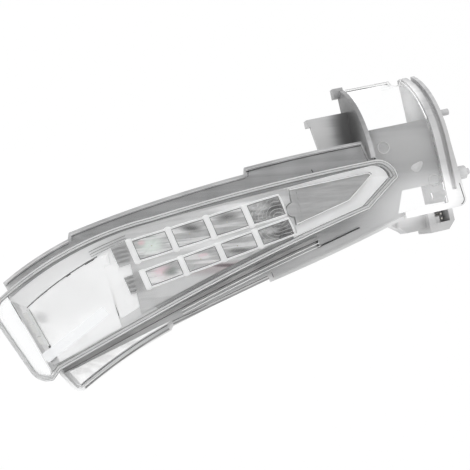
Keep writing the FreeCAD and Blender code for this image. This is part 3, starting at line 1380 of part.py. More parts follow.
doc.recompute()
for thing in doc.Objects:
    if "Invalid" in thing.State or "Error" in thing.State:
        raise RuntimeError("%s did not build: %s" % (thing.Name, thing.State))
os.makedirs("parts", exist_ok=True)
for part in PARTS:
    if part.Shape.isNull() or not part.Shape.isValid():
        raise RuntimeError("%s has no valid shape" % part.Name)
    part.Label = part.Name
    part.Shape.exportStep("parts/%s.step" % part.Label)
    print(part.Label, len(part.Shape.Solids), round(part.Shape.Volume, 1), part.Shape.BoundBox)
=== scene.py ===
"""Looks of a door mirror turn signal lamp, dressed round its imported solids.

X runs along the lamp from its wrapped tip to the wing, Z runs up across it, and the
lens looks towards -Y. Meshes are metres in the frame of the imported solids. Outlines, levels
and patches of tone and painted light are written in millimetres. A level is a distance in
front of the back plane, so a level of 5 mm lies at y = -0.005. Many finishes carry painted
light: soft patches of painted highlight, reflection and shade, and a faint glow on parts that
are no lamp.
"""

from __future__ import annotations

import json
import logging
import math
from dataclasses import dataclass
from enum import Enum

import bpy
import numpy as np
from mathutils import Matrix, Vector

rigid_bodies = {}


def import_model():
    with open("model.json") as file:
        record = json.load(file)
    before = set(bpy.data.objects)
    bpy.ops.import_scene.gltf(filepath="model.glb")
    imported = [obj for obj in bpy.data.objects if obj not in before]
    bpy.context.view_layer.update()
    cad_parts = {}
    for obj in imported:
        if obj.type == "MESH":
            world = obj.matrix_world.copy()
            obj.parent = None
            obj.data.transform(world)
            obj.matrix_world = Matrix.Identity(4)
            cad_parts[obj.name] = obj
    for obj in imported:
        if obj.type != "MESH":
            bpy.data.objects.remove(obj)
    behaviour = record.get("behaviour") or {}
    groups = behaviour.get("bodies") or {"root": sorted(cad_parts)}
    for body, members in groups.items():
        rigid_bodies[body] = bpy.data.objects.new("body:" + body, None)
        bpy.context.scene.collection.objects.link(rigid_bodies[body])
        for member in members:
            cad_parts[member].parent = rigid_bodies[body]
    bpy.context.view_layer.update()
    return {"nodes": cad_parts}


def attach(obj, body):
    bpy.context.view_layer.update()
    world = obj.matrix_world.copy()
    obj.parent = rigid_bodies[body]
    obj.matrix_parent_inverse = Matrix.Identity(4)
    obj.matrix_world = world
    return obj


LOG = logging.getLogger("lamp")
MM = 0.001
ROOT = "root"
FINE_RELIEF = 0.00004
SOFT_RELIEF = 0.0003
NOISE_LOW = 0.3
NOISE_HIGH = 0.7
Colour = tuple[float, float, float]
Socket = bpy.types.NodeSocket
Nodes = dict[str, bpy.types.Object]


class Grain(Enum):
    """Ways in which a surface's fine relief can run."""

    EVEN = (1.0, 1.0, 1.0)
    ALONG = (0.12, 1.0, 1.0)


class NodeBoard:
    """A node tree that is put together step by step."""

    def __init__(self, tree: bpy.types.NodeTree) -> None:
        """Work on a tree."""
        self.tree = tree

    def node(self, kind: str, **settings: object) -> bpy.types.Node:
        """Add a node and set its properties.

        Args:
            kind: Type of the node without its ShaderNode prefix.
            **settings: Properties of the node.

        Returns:
            The new node.
        """
        made = self.tree.nodes.new("ShaderNode" + kind)
        for key, value in settings.items():
            setattr(made, key, value)
        return made

    def feed(self, value: object, target: Socket) -> None:
        """Link a socket to a target, or set the target's own value.

        Args:
            value: Socket to link, or the value to set.
            target: Input that gets it.
        """
        if isinstance(value, bpy.types.NodeSocket):
            self.tree.links.new(value, target)
        else:
            target.default_value = value

    def larger(self, first: Socket, second: Socket) -> Socket:
        """The larger of two numbers.

        Args:
            first: One number.
            second: The other number.

        Returns:
            The socket of the larger one.
        """
        made = self.node("Math", operation="MAXIMUM")
        self.feed(first, made.inputs[0])
        self.feed(second, made.inputs[1])
        return made.outputs[0]

    def by_sight(self) -> Socket:
        """One for rays that meet a background by sight, through glass or in a reflection.

        Returns:
            The socket of that number, which is zero for all other rays.
        """
        path = self.node("LightPath").outputs
        through = self.larger(path["Is Camera Ray"], path["Is Transmission Ray"])
        return self.larger(through, path["Is Glossy Ray"])


class Recipe(NodeBoard):
    """A node material with one Principled shader."""

    def __init__(self, name: str) -> None:
        """Start an empty material.

        Args:
            name: Name of the material.
        """
        self.material = bpy.data.materials.new(name)
        self.material.use_nodes = True
        super().__init__(self.material.node_tree)
        self.shader = self.tree.nodes["Principled BSDF"]
        self.output = self.tree.nodes["Material Output"]

    def place(self, centre: Colour = (0.0, 0.0, 0.0), stretch: Colour = (1.0, 1.0, 1.0),
              turn: float = 0.0) -> Socket:
        """Object coordinates, moved so that centre is the origin, then turned and stretched.

        Args:
            centre: Point that becomes the origin, in millimetres.
            stretch: Factor along each axis after the turn.
            turn: Turn about the depth axis, in radians.

        Returns:
            The vector socket of the new coordinates.
        """
        moved = self.node("VectorMath", operation="SUBTRACT")
        self.feed(self.node("TexCoord").outputs["Object"], moved.inputs[0])
        self.feed(tuple(part * MM for part in centre), moved.inputs[1])
        mapping = self.node("Mapping")
        self.feed((0.0, turn, 0.0), mapping.inputs["Rotation"])
        self.feed(moved.outputs[0], mapping.inputs["Vector"])
        scaled = self.node("VectorMath", operation="MULTIPLY")
        self.feed(mapping.outputs["Vector"], scaled.inputs[0])
        self.feed(stretch, scaled.inputs[1])
        return scaled.outputs[0]

    def noise(self, place: Socket, scale: float, detail: float = 3.0,
              rough: float = 0.5) -> Socket:
        """Noise between 0 and 1.

        Args:
            place: Coordinates that it follows.
            scale: Number of grains for each metre.
            detail: Number of finer layers.
            rough: Share of each finer layer.

        Returns:
            The socket of the noise.
        """
        made = self.node("TexNoise")
        for name, value in (("Vector", place), ("Scale", scale), ("Detail", detail),
                            ("Roughness", rough)):
            self.feed(value, made.inputs[name])
        return made.outputs["Fac"]

    def ramp(self, factor: Socket, low: float, high: float, start: float = 0.0,
             end: float = 1.0) -> Socket:
        """Smooth step of a factor.

        Args:
            factor: Number that is stepped.
            low: Factor at which the step begins.
            high: Factor at which it ends.
            start: Result up to the beginning.
            end: Result after the end.

        Returns:
            The socket of the result.
        """
        made = self.node("MapRange", interpolation_type="SMOOTHSTEP")
        for name, value in (("Value", factor), ("From Min", low), ("From Max", high),
                            ("To Min", start), ("To Max", end)):
            self.feed(value, made.inputs[name])
        return made.outputs["Result"]

    def gloss(self, factor: Socket, roughness: float, spread: float) -> Socket:
        """Roughness that varies a little with a factor.

        Args:
            factor: Noise that it follows.
            roughness: Mean roughness.
            spread: Share of the mean by which it goes down and up.

        Returns:
            The socket of the roughness.
        """
        return self.ramp(factor, NOISE_LOW, NOISE_HIGH, roughness * (1.0 - spread),
                         roughness * (1.0 + spread))

    def blend(self, factor: object, first: object, second: object) -> Socket:
        """Mix of two colours.

        Args:
            factor: Zero for the first colour and one for the second.
            first: Colour or socket.
            second: Colour or socket.

        Returns:
            The socket of the mix.
        """
        made = self.node("Mix", data_type="RGBA")
        self.feed(factor, made.inputs[0])
        for value, socket in ((first, made.inputs[6]), (second, made.inputs[7])):
            self.feed((*value, 1.0) if isinstance(value, tuple) else value, socket)
        return made.outputs[2]

    def mean(self, factor: object, first: object, second: object) -> Socket:
        """Mix of two numbers.

        Args:
            factor: Zero for the first number and one for the second.
            first: Number or socket.
            second: Number or socket.

        Returns:
            The socket of the mix.
        """
        made = self.node("Mix", data_type="FLOAT")
        for value, socket in zip((factor, first, second), (made.inputs[0], *made.inputs[2:4])):
            self.feed(value, socket)
        return made.outputs[0]

    def near(self, centre: Colour, reach: Colour, turn: float = 0.0) -> Socket:
        """One inside an ellipsoid's core, falling smoothly to zero at its surface.

        Args:
            centre: Middle of the ellipsoid, in millimetres.
            reach: Its half lengths, in millimetres.
            turn: Its turn about the depth axis, in radians.

        Returns:
            The socket of that number.
        """
        length = self.node("VectorMath", operation="LENGTH")
        stretch = tuple(1.0 / (part * MM) for part in reach)
        self.feed(self.place(centre, stretch, turn), length.inputs[0])
        return self.ramp(length.outputs["Value"], low=0.2, high=1.0, start=1.0, end=0.0)

    def bump(self, height: Socket, strength: float, depth: float) -> None:
        """Fine relief, chained after any relief that is there already.

        Args:
            height: Height between 0 and 1.
            strength: Share of the relief that shows.
            depth: Depth of the relief, in metres.
        """
        made = self.node("Bump")
        for name, value in (("Strength", strength), ("Distance", depth), ("Height", height)):
            self.feed(value, made.inputs[name])
        before = self.shader.inputs["Normal"]
        if before.is_linked:
            self.feed(before.links[0].from_socket, made.inputs["Normal"])
        self.feed(made.outputs["Normal"], before)

    def set(self, **values: object) -> None:
        """Set or link the shader's sockets.

        Args:
            **values: Value of each socket; a word's underscore stands for a space.
        """
        for word, value in values.items():
            if isinstance(value, tuple) and len(value) == 3:
                value = (*value, 1.0)
            self.feed(value, self.shader.inputs[word.replace("_", " ")])


def grey(tone: float) -> Colour:
    """An even grey."""
    return (tone, tone, tone)


@dataclass(frozen=True)
class ToneAndLightPatch:
    """A soft patch of another tone on a surface, its centre and reach in millimetres; most of
    them are painted highlights, painted reflections and painted shade.
    """

    centre: Colour
    reach: Colour
    tone: Colour
    turn: float = 0.0


def paint_tone_and_light(recipe: Recipe, colour: Socket, tone_and_light: tuple[ToneAndLightPatch, ...]) -> Socket:
    """Lay patches of another tone over a colour, one after another; most paint highlights,
    reflections and shade.

    Args:
        recipe: Material that they belong to.
        colour: Colour under the patches.
        tone_and_light: The patches.

    Returns:
        The colour with all patches.
    """
    for shade in tone_and_light:
        near = recipe.near(shade.centre, shade.reach, shade.turn)
        colour = recipe.blend(near, colour, shade.tone)
    return colour


@dataclass(frozen=True)
class Finish:
    """A named finish, built as a node material."""

    name: str

    def lay(self, recipe: Recipe) -> None:
        """Put the finish's nodes on an empty material; each kind of finish has its own."""
        raise NotImplementedError

    def material(self) -> bpy.types.Material:
        """Build the material of this finish.

        Returns:
            The new material.
        """
        recipe = Recipe(self.name)
        self.lay(recipe)
        return recipe.material


@dataclass(frozen=True)
class MouldedPlastic(Finish):
    """Opaque moulded plastic with soft cloudy tones, flow streaks and a fine grain, and patches
    of painted light where it has them.
    """

    light: Colour
    dark: Colour
    roughness: float
    grain: Grain = Grain.EVEN
    relief: float = 0.15
    tone_and_light: tuple[ToneAndLightPatch, ...] = ()
    streaks: float = 0.3
    slope: float = -0.12
    # glow paints light: an emission that brightens the part though it is no lamp.
    glow: float = 0.0

    def lay(self, recipe: Recipe) -> None:
        """Put the finish's nodes on an empty material.

        Args:
            recipe: The material.
        """
        cloud = recipe.noise(recipe.place(), scale=60.0, detail=2.0)
        streak = recipe.noise(recipe.place(stretch=(0.03, 1.0, 1.0), turn=self.slope),
                              scale=520.0, detail=3.0)
        wide = recipe.ramp(cloud, 0.35, 0.65)
        mixed = recipe.mean(self.streaks, wide, recipe.ramp(streak, 0.32, 0.68))
        colour = paint_tone_and_light(recipe, recipe.blend(mixed, self.dark, self.light), self.tone_and_light)
        grain = recipe.noise(recipe.place(stretch=self.grain.value), scale=2600.0, detail=2.0)
        gloss = recipe.gloss(grain, self.roughness, 0.15)
        # The emission at the glow's strength is painted light.
        recipe.set(Base_Color=colour, Roughness=gloss, IOR=1.48, Emission_Color=colour,
                   Emission_Strength=self.glow)
        recipe.bump(grain, self.relief, FINE_RELIEF)


@dataclass(frozen=True)
class ClearPlastic(Finish):
    """Polished clear plastic with faint flow lines."""

    tint: Colour
    roughness: float
    flow: float = 0.05
    bend: float = 1.49
    clearness: float = 1.0
    # glow paints light: an emission that brightens the part though it is no lamp.
    glow: float = 0.0

    def lay(self, recipe: Recipe) -> None:
        """Put the finish's nodes on an empty material.

        Args:
            recipe: The material.
        """
        flow = recipe.noise(recipe.place(stretch=(0.15, 1.0, 1.0), turn=-0.12),
                            scale=160.0, detail=1.0)
        # The emission at the glow's strength is painted light.
        recipe.set(Base_Color=self.tint, Transmission_Weight=self.clearness, IOR=self.bend,
                   Emission_Color=self.tint, Emission_Strength=self.glow,
                   Roughness=recipe.gloss(flow, self.roughness, 0.4))
        recipe.bump(flow, self.flow, SOFT_RELIEF)


@dataclass(frozen=True)
class BrightCoat(Finish):
    """Metallised plastic, bright and a little cloudy, with streaks and tinted, pale and dark
    patches that paint its reflections, highlights and shade.
    """

    light: Colour
    dark: Colour
    roughness: float
    tone_and_light: tuple[ToneAndLightPatch, ...] = ()
    metal: float = 1.0
    contours: float = 0.0
    streaks: float = 0.0
    slope: float = -0.1
    # glow paints light: an emission that brightens the part though it is no lamp.
    glow: float = 0.0

    def lay(self, recipe: Recipe) -> None:
        """Put the finish's nodes on an empty material.

        Args:
            recipe: The material.
        """
        cloud = recipe.noise(recipe.place(stretch=(0.5, 1.0, 1.0)), scale=190.0, detail=1.0)
        # The streaks paint streaky reflections on the coat.
        streak = recipe.noise(recipe.place(stretch=(0.06, 0.06, 1.0), turn=self.slope),
                              scale=430.0, detail=2.0)
        mixed = recipe.mean(self.streaks, recipe.ramp(cloud, 0.38, 0.62),
                            recipe.ramp(streak, 0.42, 0.58))
        colour = paint_tone_and_light(recipe, recipe.blend(mixed, self.dark, self.light), self.tone_and_light)
        if self.contours:
            rings = recipe.node("TexWave", wave_type="RINGS", rings_direction="Y")
            recipe.feed(recipe.place((22.5, -12.0, 3.0)), rings.inputs["Vector"])
            for name, value in (("Scale", 190.0), ("Distortion", 6.0), ("Detail Scale", 0.6)):
                recipe.feed(value, rings.inputs[name])
            line = recipe.ramp(rings.outputs["Fac"], 0.86, 0.97, 0.0, self.contours)
            colour = recipe.blend(line, colour, grey(0.75))
        fine = recipe.noise(recipe.place(), scale=400.0, detail=1.0)
        # The emission at the glow's strength is painted light.
        recipe.set(Base_Color=colour, Metallic=self.metal, Emission_Color=colour,
                   Emission_Strength=self.glow,
                   Roughness=recipe.gloss(fine, self.roughness, 0.3))
        recipe.bump(cloud, 0.05, SOFT_RELIEF)


@dataclass(frozen=True)
class MilkySheet(Finish):
    """Translucent white plastic that spreads the light."""

    light: Colour
    dark: Colour
    roughness: float
    tone_and_light: tuple[ToneAndLightPatch, ...] = ()
    # glow paints light: an emission that brightens the part though it is no lamp.
    glow: float = 0.0

    def lay(self, recipe: Recipe) -> None:
        """Put the finish's nodes on an empty material.

        Args:
            recipe: The material.
        """
        cloud = recipe.noise(recipe.place(stretch=(0.5, 1.0, 1.0), turn=-0.45),
                             scale=90.0, detail=2.0)
        colour = recipe.blend(recipe.ramp(cloud, 0.4, 0.6), self.dark, self.light)
        colour = paint_tone_and_light(recipe, colour, self.tone_and_light)
        fine = recipe.noise(recipe.place(), scale=1800.0, detail=2.0)
        # The emission at the glow's strength is painted light.
        recipe.set(Base_Color=colour, IOR=1.45, Emission_Color=colour,
                   Emission_Strength=self.glow,
                   Roughness=recipe.gloss(fine, self.roughness, 0.2))
        recipe.bump(fine, 0.05, FINE_RELIEF)


@dataclass(frozen=True)
class SmallMetal(Finish):
    """Plated or drawn metal of small parts, with fine lines."""

    light: Colour
    dark: Colour
    roughness: float
    grain: Grain = Grain.EVEN

    def lay(self, recipe: Recipe) -> None:
        """Put the finish's nodes on an empty material.

        Args:
            recipe: The material.
        """
        fine = recipe.noise(recipe.place(stretch=self.grain.value), scale=1900.0, detail=3.0)
        tone = recipe.blend(recipe.ramp(fine, NOISE_LOW, NOISE_HIGH), self.dark, self.light)
        recipe.set(Base_Color=tone, Metallic=1.0,
                   Roughness=recipe.gloss(fine, self.roughness, 0.3))
        recipe.bump(fine, 0.1, FINE_RELIEF)


@dataclass(frozen=True)
class Laminate(Finish):
    """Coated board with a woven body and copper tracks that show through the coat."""

    coat: Colour
    track: Colour
    roughness: float = 0.35

    def lay(self, recipe: Recipe) -> None:
        """Put the finish's nodes on an empty material.

        Args:
            recipe: The material.
        """
        cells = recipe.node("TexBrick", offset=0.5)
        recipe.feed(recipe.place(turn=math.pi / 2), cells.inputs["Vector"])
        for name, value in (("Scale", 160.0), ("Mortar Size", 0.06)):
            recipe.feed(value, cells.inputs[name])
        weave = recipe.noise(recipe.place(stretch=(1.0, 1.0, 3.0)), scale=1400.0, detail=2.0)
        wide = recipe.blend(cells.outputs["Fac"], self.coat, self.track)
        darker = tuple(part * 0.8 for part in self.coat)
        colour = recipe.blend(recipe.ramp(weave, 0.45, 0.75, 0.0, 0.6), wide, darker)
        recipe.set(Base_Color=colour, Roughness=self.roughness, Coat_Weight=0.4)
        recipe.bump(weave, 0.15, 0.00005)


@dataclass
class Surface:
    """A grid of points and its faces, both whole arrays."""

    points: np.ndarray
    faces: np.ndarray

    @staticmethod
    def grid(points: np.ndarray, wrap_u: bool = False, wrap_v: bool = False) -> "Surface":
        """Quads over a grid of points; u is the first index and v the second.

        Args:
            points: Array of rows, columns and three coordinates.
            wrap_u: Join the last row to the first.
            wrap_v: Join the last column to the first.

        Returns:
            The surface, with one point for each grid place.
        """
        rows, columns = points.shape[:2]
        number = np.arange(rows * columns).reshape(rows, columns)
        if wrap_u:
            number = np.vstack([number, number[:1]])
        if wrap_v:
            number = np.hstack([number, number[:, :1]])
        quads = np.stack([number[:-1, :-1], number[1:, :-1], number[1:, 1:],
                          number[:-1, 1:]], axis=-1)
        return Surface(points.reshape(-1, 3), quads.reshape(-1, 4))

    @staticmethod
    def joined(parts: list["Surface"]) -> "Surface":
        """Several surfaces as one, with their faces renumbered.

        Args:
            parts: The surfaces, all with faces of as many corners.

        Returns:
            One surface with all their points and faces.
        """
        shifts = np.cumsum([0] + [len(part.points) for part in parts[:-1]])
        return Surface(np.vstack([part.points for part in parts]),
                       np.vstack([part.faces + shift for part, shift in zip(parts, shifts)]))

    def turned(self) -> "Surface":
        """The same surface with its faces the other way round."""
        return Surface(self.points, self.faces[:, ::-1])

    def mesh(self, name: str, material: bpy.types.Material) -> bpy.types.Object:
        """Make an object of this surface at the origin.

        Args:
            name: Name of the object.
            material: Its finish.

        Returns:
            The new object.
        """
        mesh = bpy.data.meshes.new(name)
        mesh.from_pydata(self.points.tolist(), [], self.faces.tolist())
        mesh.polygons.foreach_set("use_smooth", np.ones(len(mesh.polygons), dtype=bool))
        mesh.materials.append(material)
        mesh.validate()
        piece = bpy.data.objects.new(name, mesh)
        bpy.context.scene.collection.objects.link(piece)
        return piece

    def build(self, name: str, material: bpy.types.Material, slot: str) -> bpy.types.Object:
        """Make a piece of this surface that rides on the lamp.

        Args:
            name: Name of the piece.
            material: Finish of the piece.
            slot: Material slot of the record that the finish stands for; it is not used.

        Returns:
            The new object.
        """
        piece = self.mesh(name, material)
        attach(piece, ROOT)
        LOG.info("laid %s", name)
        return piece


def ruled(first: np.ndarray, second: np.ndarray, count: int = 8) -> Surface:
    """Sheet of straight rulings between two rows of points.

    Args:
        first: Points of the first row, in metres.
        second: As many points of the second row.
        count: Number of rows in the sheet.

    Returns:
        The sheet, which faces the lens when the second row is to the right of the first.
    """
    share = np.linspace(0.0, 1.0, count)[:, None, None]
    return Surface.grid(first * (1.0 - share) + second * share)


BEND_START = -35.0
FACE_BEND = 110.0
FACE_LEVEL = 32.0


def depth(x: np.ndarray, level: float) -> np.ndarray:
    """Depth of a surface that follows the lens face, in millimetres.

    The surface is flat to the right of the bend's start and a round arc to its left.

    Args:
        x: Places along the lamp.
        level: Distance in front of the back plane on the straight part.

    Returns:
        The y of each place.
    """
    radius = FACE_BEND - FACE_LEVEL + level
    reach = np.maximum(BEND_START - x, 0.0)
    return radius - level - np.sqrt(radius ** 2 - reach ** 2)


@dataclass(frozen=True)
class Stretch:
    """One stretch of an outline: its end, and its radius, which is negative to the right."""

    x: float
    z: float
    bow: float = 0.0


@dataclass(frozen=True, eq=False)
class Track:
    """An evenly spaced path of x and z, in millimetres, with its inward normals."""

    points: np.ndarray
    closed: bool

    @staticmethod
    def walk(x: float, z: float, *stretches: Stretch, closed: bool = False,
             count: int = 400) -> "Track":
        """Follow stretches from a start and space points evenly along them.

        A bowed stretch is the shorter arc of its radius between its two ends, bowed to the
        left of the way for a positive radius and to the right for a negative one.

        Args:
            x: Start, along the lamp.
            z: Start, up across the lamp.
            *stretches: What follows; a closed track ends where it starts.
            closed: The last point is next to the first.
            count: Number of points.

        Returns:
            The track.
        """
        runs = []
        start = np.array([x, z])
        for stretch in stretches:
            end = np.array([stretch.x, stretch.z])
            if stretch.bow:
                chord = end - start
                left = np.array([-chord[1], chord[0]]) / np.hypot(*chord)
                sag = math.sqrt(stretch.bow ** 2 - (chord @ chord) / 4.0)
                centre = (start + end) / 2.0 - left * sag * np.sign(stretch.bow)
                first, last = (math.atan2(*(point - centre)[::-1]) for point in (start, end))
                sweep = (last - first + math.pi) % (2.0 * math.pi) - math.pi
                turn = first + sweep * np.linspace(0.0, 1.0, 60)
                runs.append(centre + abs(stretch.bow) * np.stack([np.cos(turn),
                                                                  np.sin(turn)], axis=-1))
            else:
                runs.append(np.linspace(start, end, 60))
            start = end
        raw = np.vstack(runs)
        length = np.concatenate([[0.0], np.cumsum(np.hypot(*np.diff(raw, axis=0).T))])
        places = np.linspace(0.0, length[-1], count, endpoint=not closed)
        return Track(np.stack([np.interp(places, length, raw[:, axis]) for axis in (0, 1)],
                              axis=-1), closed)

    def inward(self) -> np.ndarray:
        """Unit normals to the right of the way walked, smoothed over sharp corners.

        Returns:
            Array of two coordinates for each point.
        """
        if self.closed:
            along = np.roll(self.points, -1, axis=0) - np.roll(self.points, 1, axis=0)
        else:
            along = np.gradient(self.points, axis=0)
        side = np.stack([along[:, 1], -along[:, 0]], axis=-1)
        if self.closed:
            side = sum(np.roll(side, shift, axis=0) for shift in range(-3, 4))
        return side / np.linalg.norm(side, axis=1, keepdims=True)

    def at(self, inset: float, level: float) -> np.ndarray:
        """Points in space, moved inwards and laid on a level.

        Args:
            inset: Distance that they move inwards.
            level: Level that they lie on.

        Returns:
            Array of three coordinates for each point, in metres.
        """
        flat = self.points + self.inward() * inset
        return np.stack([flat[:, 0], depth(flat[:, 0], level), flat[:, 1]], axis=-1) * MM

    def part(self, start: float, end: float) -> "Track":
        """The stretch between two shares of the whole length, as an open track."""
        count = len(self.points)
        return Track(self.points[int(start * count):int(end * count)], False)

    def bead(self, inset: float, level: float, radius: float, sides: int = 8) -> Surface:
        """Round bead along the track.

        Each ring is a circle across the way, made of the inward normal and the depth axis.

        Args:
            inset: Distance from the track to the bead's middle, inwards.
            level: Level of the bead's middle.
            radius: Radius of the bead.
            sides: Number of flats round it.

        Returns:
            The bead's surface, with its faces outward.
        """
        middle = self.at(inset, level)
        side = self.inward()
        turn = np.linspace(0.0, 2.0 * math.pi, sides, endpoint=False)
        across = np.stack([side[:, 0], np.zeros(len(side)), side[:, 1]], axis=-1)
        front = np.array([0.0, -1.0, 0.0])
        ring = (np.cos(turn)[None, :, None] * across[:, None, :]
                + np.sin(turn)[None, :, None] * front)
        return Surface.grid(middle[:, None, :] + radius * MM * ring, self.closed, True)

    def strip(self, inner: float, inner_level: float, outer: float,
              outer_level: float) -> Surface:
        """Sloping band along the track, ruled between two insets.

        Args:
            inner: Inset of the inner edge.
            inner_level: Level of the inner edge.
            outer: Inset of the outer edge.
            outer_level: Level of the outer edge.

        Returns:
            The band's surface, facing the lens.
        """
        share = np.linspace(0.0, 1.0, 5)[:, None, None]
        grid = self.at(outer, outer_level) * (1.0 - share) + self.at(inner, inner_level) * share
        return Surface.grid(grid, False, self.closed)


@dataclass(frozen=True)
class Row:
    """One row of light cells, in millimetres."""

    centre: float
    slope: float
    height: float
    left: float = -42.2
    pitch: float = 17.3
    divider: float = 1.6
    lean: float = 0.2

    def point(self, run: np.ndarray, side: np.ndarray) -> np.ndarray:
        """x and z of points at a run along the row and a share of its height.

        Args:
            run: Distance along the row.
            side: Share of the row's height, 0.5 on its upper edge.

        Returns:
            Array of x and z.
        """
        z = self.centre + self.slope * run + self.height * side
        return np.stack([run - self.lean * z, z], axis=-1)

    def middle(self, number: int) -> float:
        """Run of the middle of a cell."""
        return self.left + self.pitch * (number + 0.5)


ROWS = (Row(6.1, 0.085, 9.4), Row(-4.9, 0.125, 7.6))
CELLS = 4
DARK_CELL = 3


def rounded_square(turn: np.ndarray, roundness: np.ndarray) -> np.ndarray:
    """Points between a unit square and a unit circle, by their angle.

    The square's point at an angle is the circle's point divided by its larger coordinate;
    the roundness mixes the two.

    Args:
        turn: Angles.
        roundness: Zero for the square and one for the circle.

    Returns:
        Array of two coordinates.
    """
    circle = np.stack([np.cos(turn), np.sin(turn)], axis=-1)
    square = circle / np.abs(circle).max(axis=-1, keepdims=True)
    return square + (circle - square) * roundness[..., None]


def raised_block(shoulder: float, top: float, roundness: float) -> tuple[np.ndarray, np.ndarray]:
    """Rings of a small block with an upright foot, a sloping shoulder and a flat top.

    The four rings are the foot, the shoulder, the top's edge and the top's middle. Each is
    a rounded square times its ring's size.

    Args:
        shoulder: Share of the height at which the shoulder begins.
        top: Size of the top as a share of the foot's.
        roundness: Zero for a square block and one for a round one.

    Returns:
        Two coordinates of each point, between -1 and 1, and each ring's share of the height.
    """
    turn = np.linspace(0.0, 2.0 * math.pi, 48, endpoint=False)
    ring = rounded_square(turn, np.full(48, roundness))
    size = np.array([1.0, 1.0, top, 0.0])[:, None, None]
    return ring * size, np.array([0.0, shoulder, 1.0, 1.0])[:, None]


@dataclass(frozen=True)
class Cups:
    """Bright bowls in the cells, with the frames round their mouths."""

    mouth_level: float = 24.9
    floor_level: float = 20.0
    floor_radius: float = 0.3
    rim: float = 0.2
    power: float = 1.7
    ribs: float = 12.0
    rib_depth: float = 0.12
    frame_level: float = 24.95
    frame_radius: float = 0.5
    hair_level: float = 25.1
    hair_radius: float = 0.16
    hair_inset: float = 0.6
    bar: float = 1.35
    bar_length: float = 0.6
    bar_level: float = 25.0
    bar_rise: float = 0.7

    def bowl(self, row: Row, number: int) -> Surface:
        """Bowl that runs from a cell's mouth down to a round hole at its light source.

        Its half sizes shrink evenly while its depth grows like a parabola's, and its
        outline turns from a rounded parallelogram into a circle.

        Args:
            row: Row of the cell.
            number: Place of the cell in its row.

        Returns:
            The bowl's surface, facing the lens.
        """
        turn = np.linspace(0.0, 2.0 * math.pi, 64, endpoint=False)[None, :]
        share = np.linspace(1.0, 0.0, 18)[:, None]
        ring = rounded_square(np.broadcast_to(turn, (18, 64)),
                              np.broadcast_to(1.0 - 0.9 * share, (18, 64)))
        half_run = (row.pitch - row.divider) / 2.0 - self.rim
        half_side = row.height / 2.0 - self.rim
        run = self.floor_radius + (half_run - self.floor_radius) * share
        side = self.floor_radius * 0.9 + (half_side - self.floor_radius * 0.9) * share
        flat = row.point(row.middle(number) + ring[..., 0] * run,
                         ring[..., 1] * side / row.height)
        level = self.floor_level + (self.mouth_level - self.floor_level) * share ** self.power
        ribs = self.rib_depth * np.cos(self.ribs * turn) * share * (1.0 - share) * 4.0
        grid = np.stack([flat[..., 0], -(level + ribs), flat[..., 1]], axis=-1)
        return Surface.grid(grid * MM, False, True).turned()

    def frame(self, row: Row, number: int, radius: float, level: float,
              inset: float = 0.0) -> Surface:
        """Round wire on the edge of a cell's mouth.

        Args:
            row: Row of the cell.
            number: Place of the cell in its row.
            radius: Radius of the wire.
            level: Level of the wire's middle.
            inset: Distance from the mouth's edge, inwards.

        Returns:
            The wire's surface.
        """
        turn = np.linspace(0.0, 2.0 * math.pi, 96, endpoint=False)
        ring = rounded_square(turn, np.full(96, 0.08))
        half_run = (row.pitch - row.divider) / 2.0 - inset
        flat = row.point(row.middle(number) + ring[:, 0] * half_run,
                         ring[:, 1] * (0.5 - inset / row.height))
        return Track(flat[::-1], True).bead(inset=0.0, level=level, radius=radius)

    def cap(self, row: Row, number: int) -> Surface:
        """Raised bar on the divider to the left of a cell, a little longer than the cell.

        Args:
            row: Row of the cell.
            number: Place of the cell in its row.

        Returns:
            The bar's surface.
        """
        ring, rise = raised_block(shoulder=0.7, top=0.8, roundness=0.2)
        run = row.left + row.pitch * number + ring[..., 0] * self.bar
        flat = row.point(run, ring[..., 1] * self.bar_length)
        level = np.broadcast_to(self.bar_level + self.bar_rise * rise, run.shape)
        grid = np.stack([flat[..., 0], -level, flat[..., 1]], axis=-1)
        return Surface.grid(grid * MM, False, True).turned()


def dress(nodes: Nodes, **finishes: Finish) -> None:
    """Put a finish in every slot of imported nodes; one that is used twice is built once.

    Args:
        nodes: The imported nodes.
        **finishes: Finish of each node, under the node's name.
    """
    made: dict[str, bpy.types.Material] = {}
    for name, finish in finishes.items():
        if finish.name not in made:
            made[finish.name] = finish.material()
        for slot in nodes[name].material_slots:
            slot.material = made[finish.name]
        LOG.info("dressed %s as %s", name, finish.name)


